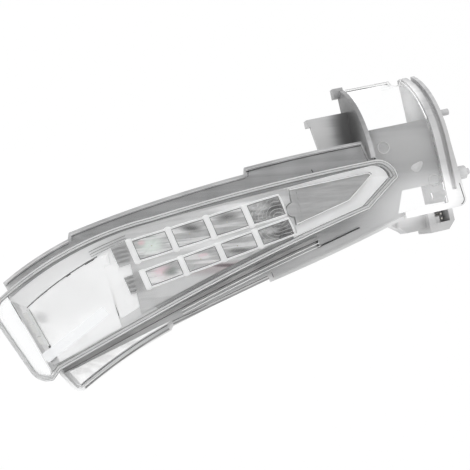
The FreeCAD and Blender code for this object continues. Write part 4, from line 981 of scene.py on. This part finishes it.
@dataclass
class Housing:
    """Grey moulded housing with its tones, seams and edge lines, and with painted light: pale
    patches and sheets, edge highlights and bands of painted shade.
    """

    nodes: Nodes
    finish: MouldedPlastic = MouldedPlastic(
        "housing_grey", (0.50, 0.50, 0.505), (0.33, 0.33, 0.335), 0.36, relief=0.12,
        streaks=0.55,
        # The patches paint light and shade: pale painted highlights on the lower flange, under
        # the lens right of the nose, at the tray's outer end and on the window's wall; painted
        # shade on the bracket plate, darkest next to the wing; and plain grey tones on the
        # backing, the right rim and the connector.
        tone_and_light=(
            ToneAndLightPatch((-64.0, -20.0, -43.0), (75.0, 80.0, 26.0), grey(0.97), 0.25),
            ToneAndLightPatch((-10.0, -22.0, -28.0), (50.0, 50.0, 10.0), grey(0.62), 0.2),
            ToneAndLightPatch((45.0, -22.0, -14.0), (45.0, 30.0, 8.0), grey(0.66), 0.2),
            ToneAndLightPatch((84.0, -22.0, -2.0), (42.0, 40.0, 18.0), grey(0.97)),
            ToneAndLightPatch((-95.0, -12.0, -20.0), (14.0, 30.0, 32.0), grey(0.95)),
            ToneAndLightPatch((67.0, -8.0, 36.0), (11.0, 30.0, 30.0), grey(0.09)),
            ToneAndLightPatch((52.5, -8.0, 34.0), (9.0, 20.0, 20.0), grey(0.50)),
            ToneAndLightPatch((86.0, -24.0, 22.0), (26.0, 30.0, 15.0), grey(0.58)),
            ToneAndLightPatch((96.0, -10.0, 43.0), (7.5, 20.0, 18.0), grey(0.97)),
            ToneAndLightPatch((105.5, -24.0, 22.0), (9.5, 60.0, 30.0), grey(0.42)),
            ToneAndLightPatch((96.0, -12.0, -16.5), (18.0, 30.0, 8.0), grey(0.50)),
        ))
    # Pale sheets with a faint glow and a brighter patch at the outer end, which paint light into
    # the tray.
    light_sheet: MouldedPlastic = MouldedPlastic(
        "painted_tray_light", grey(0.74), grey(0.62), 0.4, relief=0.05, glow=0.1,
        tone_and_light=(ToneAndLightPatch((-85.0, -15.0, -3.0), (55.0, 60.0, 50.0), grey(0.97)),))
    # Pale beads that paint the highlight along the upper flange's edge.
    edge_highlight: MouldedPlastic = MouldedPlastic(
        "painted_edge_highlight", grey(0.70), grey(0.56), 0.3, relief=0.05)
    # A pale streaky sheet and bright lines that paint highlights and reflections on the lens's
    # lower flange.
    shine: MouldedPlastic = MouldedPlastic(
        "painted_flange_highlight", grey(0.93), grey(0.74), 0.25, relief=0.03,
        streaks=0.8, slope=-0.25)
    # Grey bands of painted shade along the dome's lower wall, and darker bands along the lower
    # flange's edge.
    band: MouldedPlastic = MouldedPlastic(
        "shade_band_grey", grey(0.34), grey(0.22), 0.35, relief=0.05)
    seam_dark: MouldedPlastic = MouldedPlastic(
        "seam_dark", grey(0.05), grey(0.03), 0.5, relief=0.05)

    upper_left: Track = Track.walk(-99.2, 1.2, Stretch(-68.0, 13.2, 153.0), count=120)
    upper: Track = Track.walk(-66.6, 15.7, Stretch(11.0, 24.4, 675.0), count=200)
    upper_right: Track = Track.walk(12.0, 27.2, Stretch(65.6, 28.2, 675.0), count=160)
    lower_left: Track = Track.walk(-34.6, -33.2, Stretch(-74.0, -50.0, -190.0), count=120)
    lower: Track = Track.walk(12.0, -22.0, Stretch(-32.6, -31.6), count=120)
    weld: Track = Track.walk(36.0, -8.0, Stretch(-82.0, -39.0, -1000.0), count=300)
    foot: Track = Track.walk(106.0, 1.0, Stretch(106.7, -6.0), Stretch(104.6, -8.6, 2.9),
                             count=60)
    tick: Track = Track.walk(40.3, 20.6, Stretch(40.8, 19.2), count=12)
    edge_level: float = 24.05
    seam_level: float = 24.02
    low_band_level: float = 24.1
    weld_level: float = 26.3
    shine_inner: Track = Track.walk(-34.0, -26.6, Stretch(-80.0, -38.6, -1000.0), count=120)
    shine_level: float = 26.2
    upper_wall: Track = Track.walk(
        -99.0, -4.3, Stretch(-33.2, 14.9, 147.0), Stretch(28.0, 17.3, 950.0), count=300)
    upper_parts: Track = Track.walk(
        -91.0, -10.5, Stretch(-57.5, 4.4, 150.0), Stretch(-43.0, 9.4), Stretch(-41.5, 10.6),
        Stretch(28.0, 14.8), count=300)
    lower_wall: Track = Track.walk(-36.0, -26.8, Stretch(-84.0, -39.4, -1000.0), count=160)
    lower_parts: Track = Track.walk(
        -42.0, -18.0, Stretch(-56.0, -23.5), Stretch(-86.5, -36.0), count=160)
    outer_wall: Track = Track.walk(-87.4, -36.2, Stretch(-97.0, -7.0), count=60)
    outer_parts: Track = Track.walk(-84.0, -35.0, Stretch(-90.3, -10.8), count=60)
    tray_wall: float = 2.3
    light_sheet_level: float = 25.6
    outer_light_sheet_level: float = 23.8

    def build(self) -> None:
        """Give the housing its finish and lay its seams, painted highlights, painted shade and
        pale sheets.
        """
        dress(self.nodes, housing=self.finish)
        light = self.edge_highlight.material()
        dark = self.seam_dark.material()
        self.edges().build("flange_edge_beads", light, "housing_grey")
        self.seams().build("flange_seams", dark, "housing_grey")
        self.bands().build("shade_bands", self.band.material(), "housing_grey")
        self.weld.bead(inset=-2.2, level=self.weld_level, radius=0.13).build(
            "weld_line", dark, "housing_grey")
        self.flange_highlights().build("flange_shine", self.shine.material(), "lens_clear")
        self.foot.bead(inset=0.15, level=27.0, radius=0.16).build(
            "foot_seam", dark, "housing_grey")
        self.light_sheets().build("tray_light_sheets", self.light_sheet.material(), "housing_grey")
        self.tick.bead(inset=0.0, level=26.1, radius=0.22).build(
            "tick_seam", dark, "housing_grey")

    def edges(self) -> Surface:
        """Bright beads along the edge of the stepped upper flange, which paint its edge
        highlight.

        Returns:
            The beads as one surface.
        """
        return Surface.joined([
            self.upper_left.bead(inset=0.7, level=self.edge_level, radius=0.22),
            self.upper.bead(inset=0.8, level=self.edge_level, radius=0.16),
            self.upper_right.bead(inset=0.7, level=self.edge_level, radius=0.16),
        ])

    def seams(self) -> Surface:
        """Dark lines beside the edges of the upper and the lower flange.

        Returns:
            The lines as one surface.
        """
        return Surface.joined([
            self.upper.bead(inset=1.55, level=self.edge_level, radius=0.10),
            self.upper_right.bead(inset=1.6, level=self.edge_level, radius=0.22),
            self.lower_left.bead(inset=2.4, level=self.seam_level, radius=0.14),
            self.lower.bead(inset=1.7, level=self.seam_level, radius=0.12),
            self.upper_left.bead(inset=1.6, level=self.seam_level, radius=0.10),
        ])

    def bands(self) -> Surface:
        """Grey bands that paint the shade of the dome's lower wall along the weld of the lens,
        and darker bands along the edge of the lower flange.

        Returns:
            The bands as one surface.
        """
        low = self.low_band_level
        return Surface.joined([
            self.weld.strip(-0.3, self.weld_level, -2.1, self.weld_level),
            self.lower_left.strip(0.9, low, 0.2, low), self.lower.strip(0.9, low, 0.2, low),
        ])

    def flange_highlights(self) -> Surface:
        """Bright lines and a pale sheet on the lens's lower flange, which paint its highlights
        and reflections.

        Returns:
            The lines and the sheet as one surface.
        """
        right = self.weld.part(0.0, 0.55)
        return Surface.joined([
            right.bead(inset=-3.3, level=26.2, radius=0.20),
            right.bead(inset=-4.7, level=26.1, radius=0.16),
            ruled(self.lower_left.at(3.2, self.shine_level),
                  self.shine_inner.at(-2.7, self.shine_level)),
        ])

    def light_sheets(self) -> Surface:
        """Pale sheets from the tray's walls to the parts inside it, which paint light into the
        deep tray where shade would fall.

        Each sheet is ruled between a line on a wall and a line on the parts.

        Returns:
            The upper, the lower and the outer sheet as one surface.
        """
        outer = self.outer_light_sheet_level
        return Surface.joined([
            ruled(self.upper_wall.at(self.tray_wall, self.light_sheet_level),
                  self.upper_parts.at(0.45, 24.4)),
            ruled(self.lower_wall.at(self.tray_wall, self.light_sheet_level),
                  self.lower_parts.at(0.0, 22.6)),
            ruled(self.outer_wall.at(0.0, outer), self.outer_parts.at(0.0, outer)),
        ])


@dataclass
class ClearLens:
    """Clear lens over the whole lamp, with painted highlights and painted shade along its raised
    rim.
    """

    nodes: Nodes
    finish: ClearPlastic = ClearPlastic("lens_clear", (0.996, 0.998, 1.0), 0.015)
    # Pale beads that paint the highlights of the raised rim.
    glint: MouldedPlastic = MouldedPlastic(
        "rim_glint", grey(0.97), grey(0.92), 0.12, relief=0.03)
    # Dark lines that paint shade and a dark reflection on the rim; a pale patch lightens them at
    # the tip as a painted highlight.
    line: MouldedPlastic = MouldedPlastic(
        "rim_shade_line", grey(0.34), grey(0.22), 0.3, relief=0.03,
        tone_and_light=(ToneAndLightPatch((-100.0, -20.0, -30.0), (26.0, 80.0, 36.0), grey(0.88)),))
    edge: MouldedPlastic = MouldedPlastic(
        "window_edge_pale", grey(0.72), grey(0.62), 0.25, relief=0.03)
    slit: MouldedPlastic = MouldedPlastic(
        "slit_shadow", grey(0.015), grey(0.01), 0.6, relief=0.03)

    dome: Track = Track.walk(
        -101.5, -4.6, Stretch(-33.2, 14.9, 147.0), Stretch(66.5, 18.9, 950.0),
        Stretch(76.2, 9.2, 9.3), Stretch(60.5, -1.6), Stretch(-82.0, -39.0, -1000.0),
        Stretch(-86.0, -42.8), Stretch(-94.5, -38.6, 9.0), Stretch(-105.4, -13.5),
        Stretch(-101.5, -4.6, 10.0), closed=True, count=1200)
    window: Track = Track.walk(
        70.4, 54.8, Stretch(91.9, 54.8), Stretch(98.1, 54.8, -3.12), Stretch(98.8, 54.8),
        count=160)
    latch: Track = Track.walk(
        35.8, -8.8, Stretch(35.8, -13.1), Stretch(55.9, -8.75), count=120)
    rim_level: float = 31.8

    def build(self) -> None:
        """Give the lens its finish and lay the beads along its rim, window and slit."""
        dress(self.nodes, clear_lens=self.finish)
        glint = self.glint.material()
        line = self.line.material()
        self.rim().build("rim_beads", glint, "lens_clear")
        self.rim_lines().build("rim_lines", line, "lens_clear")
        self.window.bead(inset=0.0, level=6.6, radius=0.26).build(
            "window_edge", self.edge.material(), "lens_clear")
        self.latch.bead(inset=0.0, level=24.15, radius=0.32).build(
            "slit_shadow", self.slit.material(), "housing_grey")

    def rim(self) -> Surface:
        """Bright beads on both edges of the dome's raised rim, and its flat top, which paint the
        rim's highlights.

        Returns:
            The rim's parts as one surface.
        """
        return Surface.joined([
            self.dome.bead(inset=0.44, level=31.7, radius=0.34),
            self.dome.bead(inset=1.5, level=31.6, radius=0.34),
            self.dome.strip(1.5, self.rim_level, 0.35, self.rim_level),
        ])

    def rim_lines(self) -> Surface:
        """Dark lines at the dome's foot, along the rim's middle and at its inner edge, which
        paint the rim's shade and a dark reflection along its middle.

        Returns:
            The lines as one surface.
        """
        return Surface.joined([
            self.dome.bead(inset=0.2, level=26.2, radius=0.14),
            self.dome.bead(inset=0.92, level=31.88, radius=0.10),
            self.dome.bead(inset=2.0, level=30.8, radius=0.12),
        ])


@dataclass
class LightUnit:
    """Reflector cells, light sources and the panel in the nose."""

    nodes: Nodes
    coat: BrightCoat = BrightCoat(
        "reflector_bright", grey(0.72), grey(0.58), 0.4, metal=0.1,
        streaks=0.6, glow=0.08,
        # The faint glow is painted light. The patches paint a pale strip between the rows and a
        # white band above the upper row as painted highlights, a pinkish strip with a dark line
        # below the lower row as painted reflection, and a darker grey on the two pads.
        tone_and_light=(
            ToneAndLightPatch((-10.0, -25.0, -1.2), (46.0, 4.0, 3.2), grey(0.86), -0.105),
            ToneAndLightPatch((-6.0, -25.0, -12.5), (34.0, 4.0, 3.5), (0.50, 0.45, 0.46), -0.125),
            ToneAndLightPatch((-5.0, -25.0, -11.9), (11.0, 4.0, 1.1), (0.12, 0.08, 0.09), -0.20),
            ToneAndLightPatch((6.0, -25.0, 11.7), (24.0, 4.0, 2.4), grey(0.97), -0.10),
            ToneAndLightPatch((-44.5, -25.0, -10.5), (8.5, 10.0, 7.0), grey(0.40)),
            ToneAndLightPatch((-47.5, -25.0, 3.0), (9.0, 10.0, 8.0), grey(0.42)),
        ))
    cup: BrightCoat = BrightCoat(
        "cup_bright", grey(0.98), grey(0.52), 0.42, metal=0.1, streaks=0.9, glow=0.15,
        # The faint glow is painted light, and the patches paint the cells' reflections: pale
        # green and pink tints, and dark streaks and blots.
        tone_and_light=(
            ToneAndLightPatch((-34.5, -16.0, 3.5), (9.0, 12.0, 6.0), (0.86, 0.93, 0.88)),
            ToneAndLightPatch((-38.5, -16.0, 5.5), (3.0, 12.0, 2.2), (0.92, 0.66, 0.70)),
            ToneAndLightPatch((-33.0, -16.0, -7.5), (7.0, 12.0, 4.0), (0.92, 0.72, 0.77)),
            ToneAndLightPatch((-28.0, -16.0, -9.5), (6.0, 12.0, 3.5), (0.14, 0.18, 0.16)),
            ToneAndLightPatch((-16.5, -16.0, 7.0), (8.5, 20.0, 2.4), grey(0.10), -0.27),
            ToneAndLightPatch((-0.2, -16.0, 8.5), (9.0, 20.0, 2.8), grey(0.20), -0.12),
            ToneAndLightPatch((3.0, -16.0, -7.2), (8.5, 20.0, 1.6), grey(0.12), -0.14),
            ToneAndLightPatch((-14.0, -16.0, -5.5), (4.0, 20.0, 1.4), (0.92, 0.76, 0.79)),
        ))
    dark_cup: BrightCoat = BrightCoat(
        "end_cup_painted_reflections", grey(0.78), grey(0.30), 0.3, metal=0.2,
        contours=0.8, streaks=0.8, glow=0.05,
        # A light coat whose patches paint dark reflections at the right ends and pale streaks;
        # the faint glow is painted light too.
        tone_and_light=(
            ToneAndLightPatch((22.5, -16.0, 8.0), (10.0, 20.0, 7.5), grey(0.05)),
            ToneAndLightPatch((24.5, -16.0, -3.0), (10.0, 20.0, 5.5), grey(0.05)),
            ToneAndLightPatch((14.5, -16.0, 9.5), (7.5, 20.0, 2.6), grey(0.95), -0.1),
            ToneAndLightPatch((17.0, -16.0, -1.5), (6.0, 20.0, 2.0), grey(0.95), -0.1),
        ))
    # White with a faint glow, which is painted light; it is used for the frames and for the
    # painted surround and outline of the nose panel.
    frame: MouldedPlastic = MouldedPlastic(
        "frame_white", grey(0.97), grey(0.90), 0.2, relief=0.05, glow=0.18)
    hair: MouldedPlastic = MouldedPlastic(
        "frame_shadow", grey(0.20), grey(0.12), 0.4, relief=0.05)
    panel: MouldedPlastic = MouldedPlastic(
        "panel_white", grey(0.62), grey(0.42), 0.28, relief=0.06,
        slope=-0.16, streaks=0.6)
    resin: MouldedPlastic = MouldedPlastic(
        "light_source_cream", (0.85, 0.83, 0.72), (0.72, 0.69, 0.52), 0.25, relief=0.02)

    nose: Track = Track.walk(
        26.0, 17.2, Stretch(66.5, 18.9, 950.0), Stretch(76.2, 9.2, 9.3), Stretch(60.5, -1.6),
        Stretch(27.0, -9.6, -1000.0), count=260)
    leaf: Track = Track.walk(
        28.4, 14.1, Stretch(64.9, 14.1), Stretch(66.3, 12.9), Stretch(53.8, 3.9),
        Stretch(28.4, -1.3), count=200)
    cups: Cups = Cups()

    def build(self) -> None:
        """Dress the unit's solids and add bowls, frames and the nose's bright surround and
        outline, which are painted light.
        """
        dress(self.nodes, reflector=self.coat, nose_panel=self.panel,
              light_sources=self.resin)
        self.bowls()
        white = self.frame.material()
        self.frames(white)
        # The white surround paints the bright look round the nose panel and lies over its shade;
        # the outline paints a highlight along the panel's edge.
        self.nose.strip(8.4, 22.8, 2.1, 25.2).build("nose_surround", white, "panel_white")
        self.leaf.bead(inset=0.1, level=26.4, radius=0.24).build(
            "panel_outline", white, "panel_white")

    def bowls(self) -> None:
        """Bright bowls in the cells, and ones with painted dark reflections in the last cell of
        each row.
        """
        for name, finish, numbers in (("cell_bowls", self.cup, range(DARK_CELL)),
                                      ("end_bowls", self.dark_cup, (DARK_CELL,))):
            bowls = [self.cups.bowl(row, number) for row in ROWS for number in numbers]
            Surface.joined(bowls).build(name, finish.material(), "reflector_bright")

    def frames(self, white: bpy.types.Material) -> None:
        """White frames and dividers of the cells, and the thin shadows inside the frames.

        Args:
            white: Finish of the frames and the dividers.
        """
        cups = self.cups
        places = [(row, number) for row in ROWS for number in range(CELLS)]
        frames = [cups.frame(*place, cups.frame_radius, cups.frame_level)
                  for place in places]
        caps = [cups.cap(*place) for place in places]
        hairs = [cups.frame(*place, cups.hair_radius, cups.hair_level, cups.hair_inset)
                 for place in places]
        for name, parts, material in (("cell_frames", frames, white),
                                      ("cell_dividers", caps, white),
                                      ("cell_hairlines", hairs, self.hair.material())):
            Surface.joined(parts).build(name, material, "reflector_bright")


@dataclass
class OuterEnd:
    """Milky diffuser, clear light bar and the small board at the wrapped tip."""

    nodes: Nodes
    milk: MilkySheet = MilkySheet(
        "diffuser_milky", grey(0.95), grey(0.90), 0.35, glow=0.24,
        # A faint glow, which is painted light, and two grey patches that paint reflections on
        # the diffuser.
        tone_and_light=(
            ToneAndLightPatch((-85.5, -14.0, -16.5), (5.0, 10.0, 4.0), grey(0.66), -0.5),
            ToneAndLightPatch((-90.5, -8.0, -21.0), (1.5, 10.0, 5.0), grey(0.70), 0.3),
        ))
    # The light bar's glow is painted light, which makes it fade into the white around it.
    bar: ClearPlastic = ClearPlastic("bar_clear", (0.97, 0.975, 0.98), 0.03, clearness=0.3,
                                     glow=0.18)
    laminate: Laminate = Laminate("tip_board_laminate", (0.94, 0.95, 0.94), (0.97, 0.97, 0.96))
    # The trim's glow is painted light.
    trim: MilkySheet = MilkySheet(
        "inner_trim_white", grey(0.95), grey(0.90), 0.35, glow=0.24)
    gap: MouldedPlastic = MouldedPlastic(
        "gap_dark", grey(0.04), grey(0.02), 0.5, relief=0.05)
    line: MouldedPlastic = MouldedPlastic(
        "trim_line", grey(0.42), grey(0.30), 0.4, relief=0.05)

    tip_light: MouldedPlastic = MouldedPlastic(
        "tip_light_cream", (0.94, 0.94, 0.92), (0.88, 0.88, 0.85), 0.25)
    edge: Track = Track.walk(-90.8, -11.0, Stretch(-56.0, 3.8, 150.0), count=200)
    gaps: tuple[tuple[float, float, float], ...] = (
        (0.0, 0.10, 0.16), (0.16, 0.30, 0.16), (0.56, 0.62, 0.26), (0.80, 0.92, 0.16))
    ribs: Track = Track.walk(-60.5, 6.2, Stretch(-44.5, 9.7, 147.0), count=60)
    rib_places: tuple[tuple[float, float], ...] = ((0.0, 0.16), (1.1, 0.14), (2.2, 0.12))
    left_z: tuple[float, ...] = (-25.0, 3.8, 5.6)
    left_x: tuple[float, ...] = (-53.4, -57.4, -58.0)
    right_z: tuple[float, ...] = (-20.0, -6.0, -5.9, 9.0)
    right_x: tuple[float, ...] = (-43.6, -43.6, -44.0, -44.0)
    filler_level: float = 23.2
    tooth_x: float = -54.9
    tooth_z: float = 1.2
    tooth_level: float = 23.0
    tooth_rise: float = 2.2
    tooth_half: tuple[float, float] = (2.2, 2.6)

    def build(self) -> None:
        """Dress the outer end's solids, close the gap beside them and add its fine lines."""
        dress(self.nodes, diffuser=self.milk, light_bar=self.bar, tip_board=self.laminate,
              tip_lights=self.tip_light)
        trim = self.trim.material()
        self.filler().build("inner_trim", trim, "diffuser_milky")
        self.tooth().build("trim_tooth", trim, "diffuser_milky")
        Surface.joined([
            self.edge.part(start, end).bead(inset=0.2, level=26.0, radius=radius)
            for start, end, radius in self.gaps
        ]).build("diffuser_gaps", self.gap.material(), "diffuser_milky")
        Surface.joined([
            self.ribs.bead(inset=inset, level=25.2, radius=radius)
            for inset, radius in self.rib_places
        ]).build("trim_lines", self.line.material(), "diffuser_milky")

    def filler(self) -> Surface:
        """White sheet between the diffuser's right edge and the pads of the cells.

        It is ruled between two upright lines, one along the diffuser and one along the
        pads, and lies a little behind the diffuser's face.

        Returns:
            The sheet, facing the lens.
        """
        left_z, right_z = (np.linspace(heights[0], heights[-1], 24)
                           for heights in (self.left_z, self.right_z))
        left_x = np.interp(left_z, self.left_z, self.left_x)
        right_x = np.interp(right_z, self.right_z, self.right_x)
        across = np.linspace(0.0, 1.0, 20)[:, None]
        x = left_x + (right_x - left_x) * across
        z = left_z + (right_z - left_z) * across
        return Surface.grid(np.stack([x, depth(x, self.filler_level), z], axis=-1) * MM)

    def tooth(self) -> Surface:
        """Small raised block between the diffuser and the upper pad.

        Returns:
            The block's surface.
        """
        ring, rise = raised_block(shoulder=0.75, top=0.82, roundness=0.15)
        x = self.tooth_x + ring[..., 0] * self.tooth_half[0]
        z = self.tooth_z + ring[..., 1] * self.tooth_half[1] + 0.25 * (x - self.tooth_x)
        y = depth(x, self.tooth_level) - self.tooth_rise * rise
        return Surface.grid(np.stack([x, y, z], axis=-1) * MM, False, True).turned()


@dataclass
class WingMarks:
    """Marks on the wing's backing: two rings and the stub of the gate."""

    # The pale tone paints the highlight on the gate stub; the rings are drawn in the same pale
    # tone.
    finish: MouldedPlastic = MouldedPlastic(
        "mark_light", grey(0.95), grey(0.86), 0.3, relief=0.05)
    rings: tuple[tuple[float, float, float], ...] = ((75.4, 23.6, 23.95), (95.4, 4.6, 24.05))
    radius: float = 2.6
    wire: float = 0.2

    stub: tuple[float, float, float] = (88.9, 12.2, 23.9)
    stub_half: tuple[float, float] = (3.1, 2.1)
    stub_rise: float = 1.0

    def build(self) -> None:
        """Build the rings and the stub."""
        material = self.finish.material()
        turn = np.linspace(0.0, 2.0 * math.pi, 64, endpoint=False)
        self.circles(turn).build("wing_rings", material, "housing_grey")
        self.gate(turn).build("gate_stub", material, "housing_grey")

    def circles(self, turn: np.ndarray) -> Surface:
        """Thin rings on the backing.

        Args:
            turn: Angles of the points on a ring.

        Returns:
            The rings as one surface.
        """
        rings = []
        for x, z, level in self.rings:
            flat = np.stack([x + self.radius * np.cos(turn), z - self.radius * np.sin(turn)],
                            axis=-1)
            rings.append(Track(flat, True).bead(inset=0.0, level=level, radius=self.wire))
        return Surface.joined(rings)

    def gate(self, turn: np.ndarray) -> Surface:
        """Low round stub with a wavy outline, which falls to its edge like a cosine.

        Args:
            turn: Angles of the points on a ring.

        Returns:
            The stub's surface, facing the lens.
        """
        share = np.linspace(0.0, 1.0, 10)[:, None]
        wave = share * (1.0 + 0.12 * np.sin(3.0 * turn))
        x = self.stub[0] + self.stub_half[0] * wave * np.cos(turn)
        z = self.stub[1] + self.stub_half[1] * wave * np.sin(turn) + 0.25 * (x - self.stub[0])
        fall = np.broadcast_to(np.cos(share * math.pi / 2.0), x.shape)
        y = -(self.stub[2] + self.stub_rise * fall)
        return Surface.grid(np.stack([x, y, z], axis=-1) * MM, False, True)


@dataclass
class Electrics:
    """Board, its parts, the terminals, the leads, the link and the vent's membrane."""

    nodes: Nodes
    laminate: Laminate = Laminate("board_laminate", (0.42, 0.45, 0.42), (0.56, 0.58, 0.52))
    chip: MouldedPlastic = MouldedPlastic(
        "chip_black", (0.05, 0.05, 0.055), (0.03, 0.03, 0.035), 0.6, relief=0.3)
    can: SmallMetal = SmallMetal("can_aluminium", (0.8, 0.8, 0.81), (0.6, 0.6, 0.62), 0.3)
    steel: SmallMetal = SmallMetal("screw_steel", (0.66, 0.66, 0.67), (0.48, 0.48, 0.5), 0.3)
    tin: SmallMetal = SmallMetal("terminal_tinned", (0.8, 0.78, 0.72), (0.6, 0.58, 0.52),
                                 0.25, Grain.ALONG)
    sheath: MouldedPlastic = MouldedPlastic(
        "lead_sheath", (0.07, 0.07, 0.075), (0.045, 0.045, 0.05), 0.5, Grain.ALONG)
    film: MouldedPlastic = MouldedPlastic(
        "link_film", (0.62, 0.4, 0.16), (0.5, 0.3, 0.1), 0.35, Grain.ALONG)
    cloth: MouldedPlastic = MouldedPlastic(
        "membrane_white", grey(0.86), grey(0.74), 0.8, relief=0.5)

    def build(self) -> None:
        """Give the electric parts their finishes."""
        dress(self.nodes, circuit_board=self.laminate, driver_chips=self.chip,
              resistors=self.chip, protection_diode=self.chip, capacitor=self.can,
              board_screws=self.steel, terminals=self.tin, return_lead=self.sheath,
              supply_lead=self.sheath, board_link=self.film, vent_membrane=self.cloth)


@dataclass(frozen=True)
class SoftLamp:
    """A square lamp: its place and side in metres, and its power in watts."""

    name: str
    place: Colour
    side: float
    power: float


@dataclass
class Studio:
    """White sweep, soft lamps, an even world and the camera, all in metres."""

    eye: Colour = (-0.0590, -0.3668, 0.0)
    target: Colour = (0.0, -0.032, 0.0)
    roll: float = math.radians(12.5)
    lens: float = 62.0
    sensor: float = 36.0
    floor_drop: float = 0.22
    sweep_reach: float = 1.6
    sweep_bend: float = 0.5
    bend_start: float = 0.4
    sight_share: float = 0.92
    fill: float = 1.0
    lamps: tuple[SoftLamp, ...] = (
        SoftLamp("key_lamp", (-0.35, -0.55, 0.75), 0.7, 3.4),
        SoftLamp("side_lamp", (0.75, -0.45, 0.25), 0.5, 1.0),
        SoftLamp("rear_lamp", (0.1, 0.7, 0.45), 0.6, 0.3),
    )

    def world(self) -> None:
        """White world by sight, and an even plain fill for what it lights."""
        world = bpy.data.worlds.new("plain_world")
        bpy.context.scene.world = world
        world.use_nodes = True
        board = NodeBoard(world.node_tree)
        strength = board.node("MapRange")
        board.feed(board.by_sight(), strength.inputs["Value"])
        board.feed(self.fill, strength.inputs["To Min"])
        background = board.tree.nodes["Background"]
        board.feed((1.0, 1.0, 1.0, 1.0), background.inputs["Color"])
        board.feed(strength.outputs["Result"], background.inputs["Strength"])

    def pale(self) -> bpy.types.Material:
        """Pale matt material that is nearly white by sight.

        Returns:
            The new material.
        """
        recipe = Recipe("sweep_pale")
        recipe.set(Base_Color=grey(0.9), Roughness=0.8)
        share = recipe.node("Math", operation="MULTIPLY")
        recipe.feed(recipe.by_sight(), share.inputs[0])
        recipe.feed(self.sight_share, share.inputs[1])
        mixed = recipe.node("MixShader")
        glow = recipe.node("Emission").outputs["Emission"]
        for value, socket in zip((share.outputs[0], recipe.shader.outputs["BSDF"], glow),
                                 mixed.inputs):
            recipe.feed(value, socket)
        recipe.feed(mixed.outputs["Shader"], recipe.output.inputs["Surface"])
        return recipe.material

    def sweep(self) -> None:
        """Pale floor that curves up into a backdrop behind the lamp.

        The section is a level line, a quarter circle and an upright line, carried along X.
        """
        turn = np.linspace(0.0, math.pi / 2, 24)
        bend = self.sweep_bend
        away = np.concatenate([[-self.sweep_reach], bend * np.sin(turn) + self.bend_start,
                               [self.bend_start + bend]])
        height = np.concatenate([[-self.floor_drop],
                                 bend * (1.0 - np.cos(turn)) - self.floor_drop,
                                 [self.sweep_reach]])
        across = np.linspace(-self.sweep_reach * 1.5, self.sweep_reach * 1.5, 9)
        x, y = np.meshgrid(across, away, indexing="ij")
        z = np.broadcast_to(height, x.shape)
        floor = Surface.grid(np.stack([x, y, z], axis=-1)).mesh("studio_sweep", self.pale())

    def light(self) -> None:
        """Soft square lamps that look at the lamp's middle."""
        for lamp in self.lamps:
            data = bpy.data.lights.new(lamp.name, "AREA")
            data.shape = "SQUARE"
            data.size = lamp.side
            data.energy = lamp.power
            hung = bpy.data.objects.new(lamp.name, data)
            hung.location = lamp.place
            aim = Vector(self.target) - Vector(lamp.place)
            hung.rotation_euler = aim.to_track_quat("-Z", "Y").to_euler()
            bpy.context.scene.collection.objects.link(hung)

    def camera(self) -> None:
        """Camera at the photograph's place, rolled so that the lamp rises to the right."""
        data = bpy.data.cameras.new("camera")
        data.lens = self.lens
        data.sensor_width = self.sensor
        data.clip_start = 0.01
        data.clip_end = 20.0
        camera = bpy.data.objects.new("camera", data)
        forward = (Vector(self.target) - Vector(self.eye)).normalized()
        level = forward.cross(Vector((0.0, 0.0, 1.0))).normalized()
        above = level.cross(forward)
        right = level * math.cos(self.roll) - above * math.sin(self.roll)
        up = level * math.sin(self.roll) + above * math.cos(self.roll)
        turned = Matrix((right, up, -forward)).transposed().to_4x4()
        camera.matrix_world = Matrix.Translation(Vector(self.eye)) @ turned
        bpy.context.scene.collection.objects.link(camera)
        bpy.context.scene.camera = camera

    def build(self) -> None:
        """Set up the whole studio."""
        bpy.context.scene.view_settings.view_transform = "Standard"
        self.world()
        self.sweep()
        self.light()
        self.camera()


def main() -> None:
    """Dress the lamp and build the studio round it."""
    logging.basicConfig(level=logging.INFO, format="%(name)s: %(message)s")
    for leftover in list(bpy.data.objects):
        bpy.data.objects.remove(leftover)
    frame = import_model()
    nodes = frame["nodes"]
    for unit in (Housing(nodes), ClearLens(nodes), LightUnit(nodes), OuterEnd(nodes),
                 WingMarks(), Electrics(nodes)):
        unit.build()
        LOG.info("built %s", type(unit).__name__)
    Studio().build()


if __name__ == "__main__":
    main()
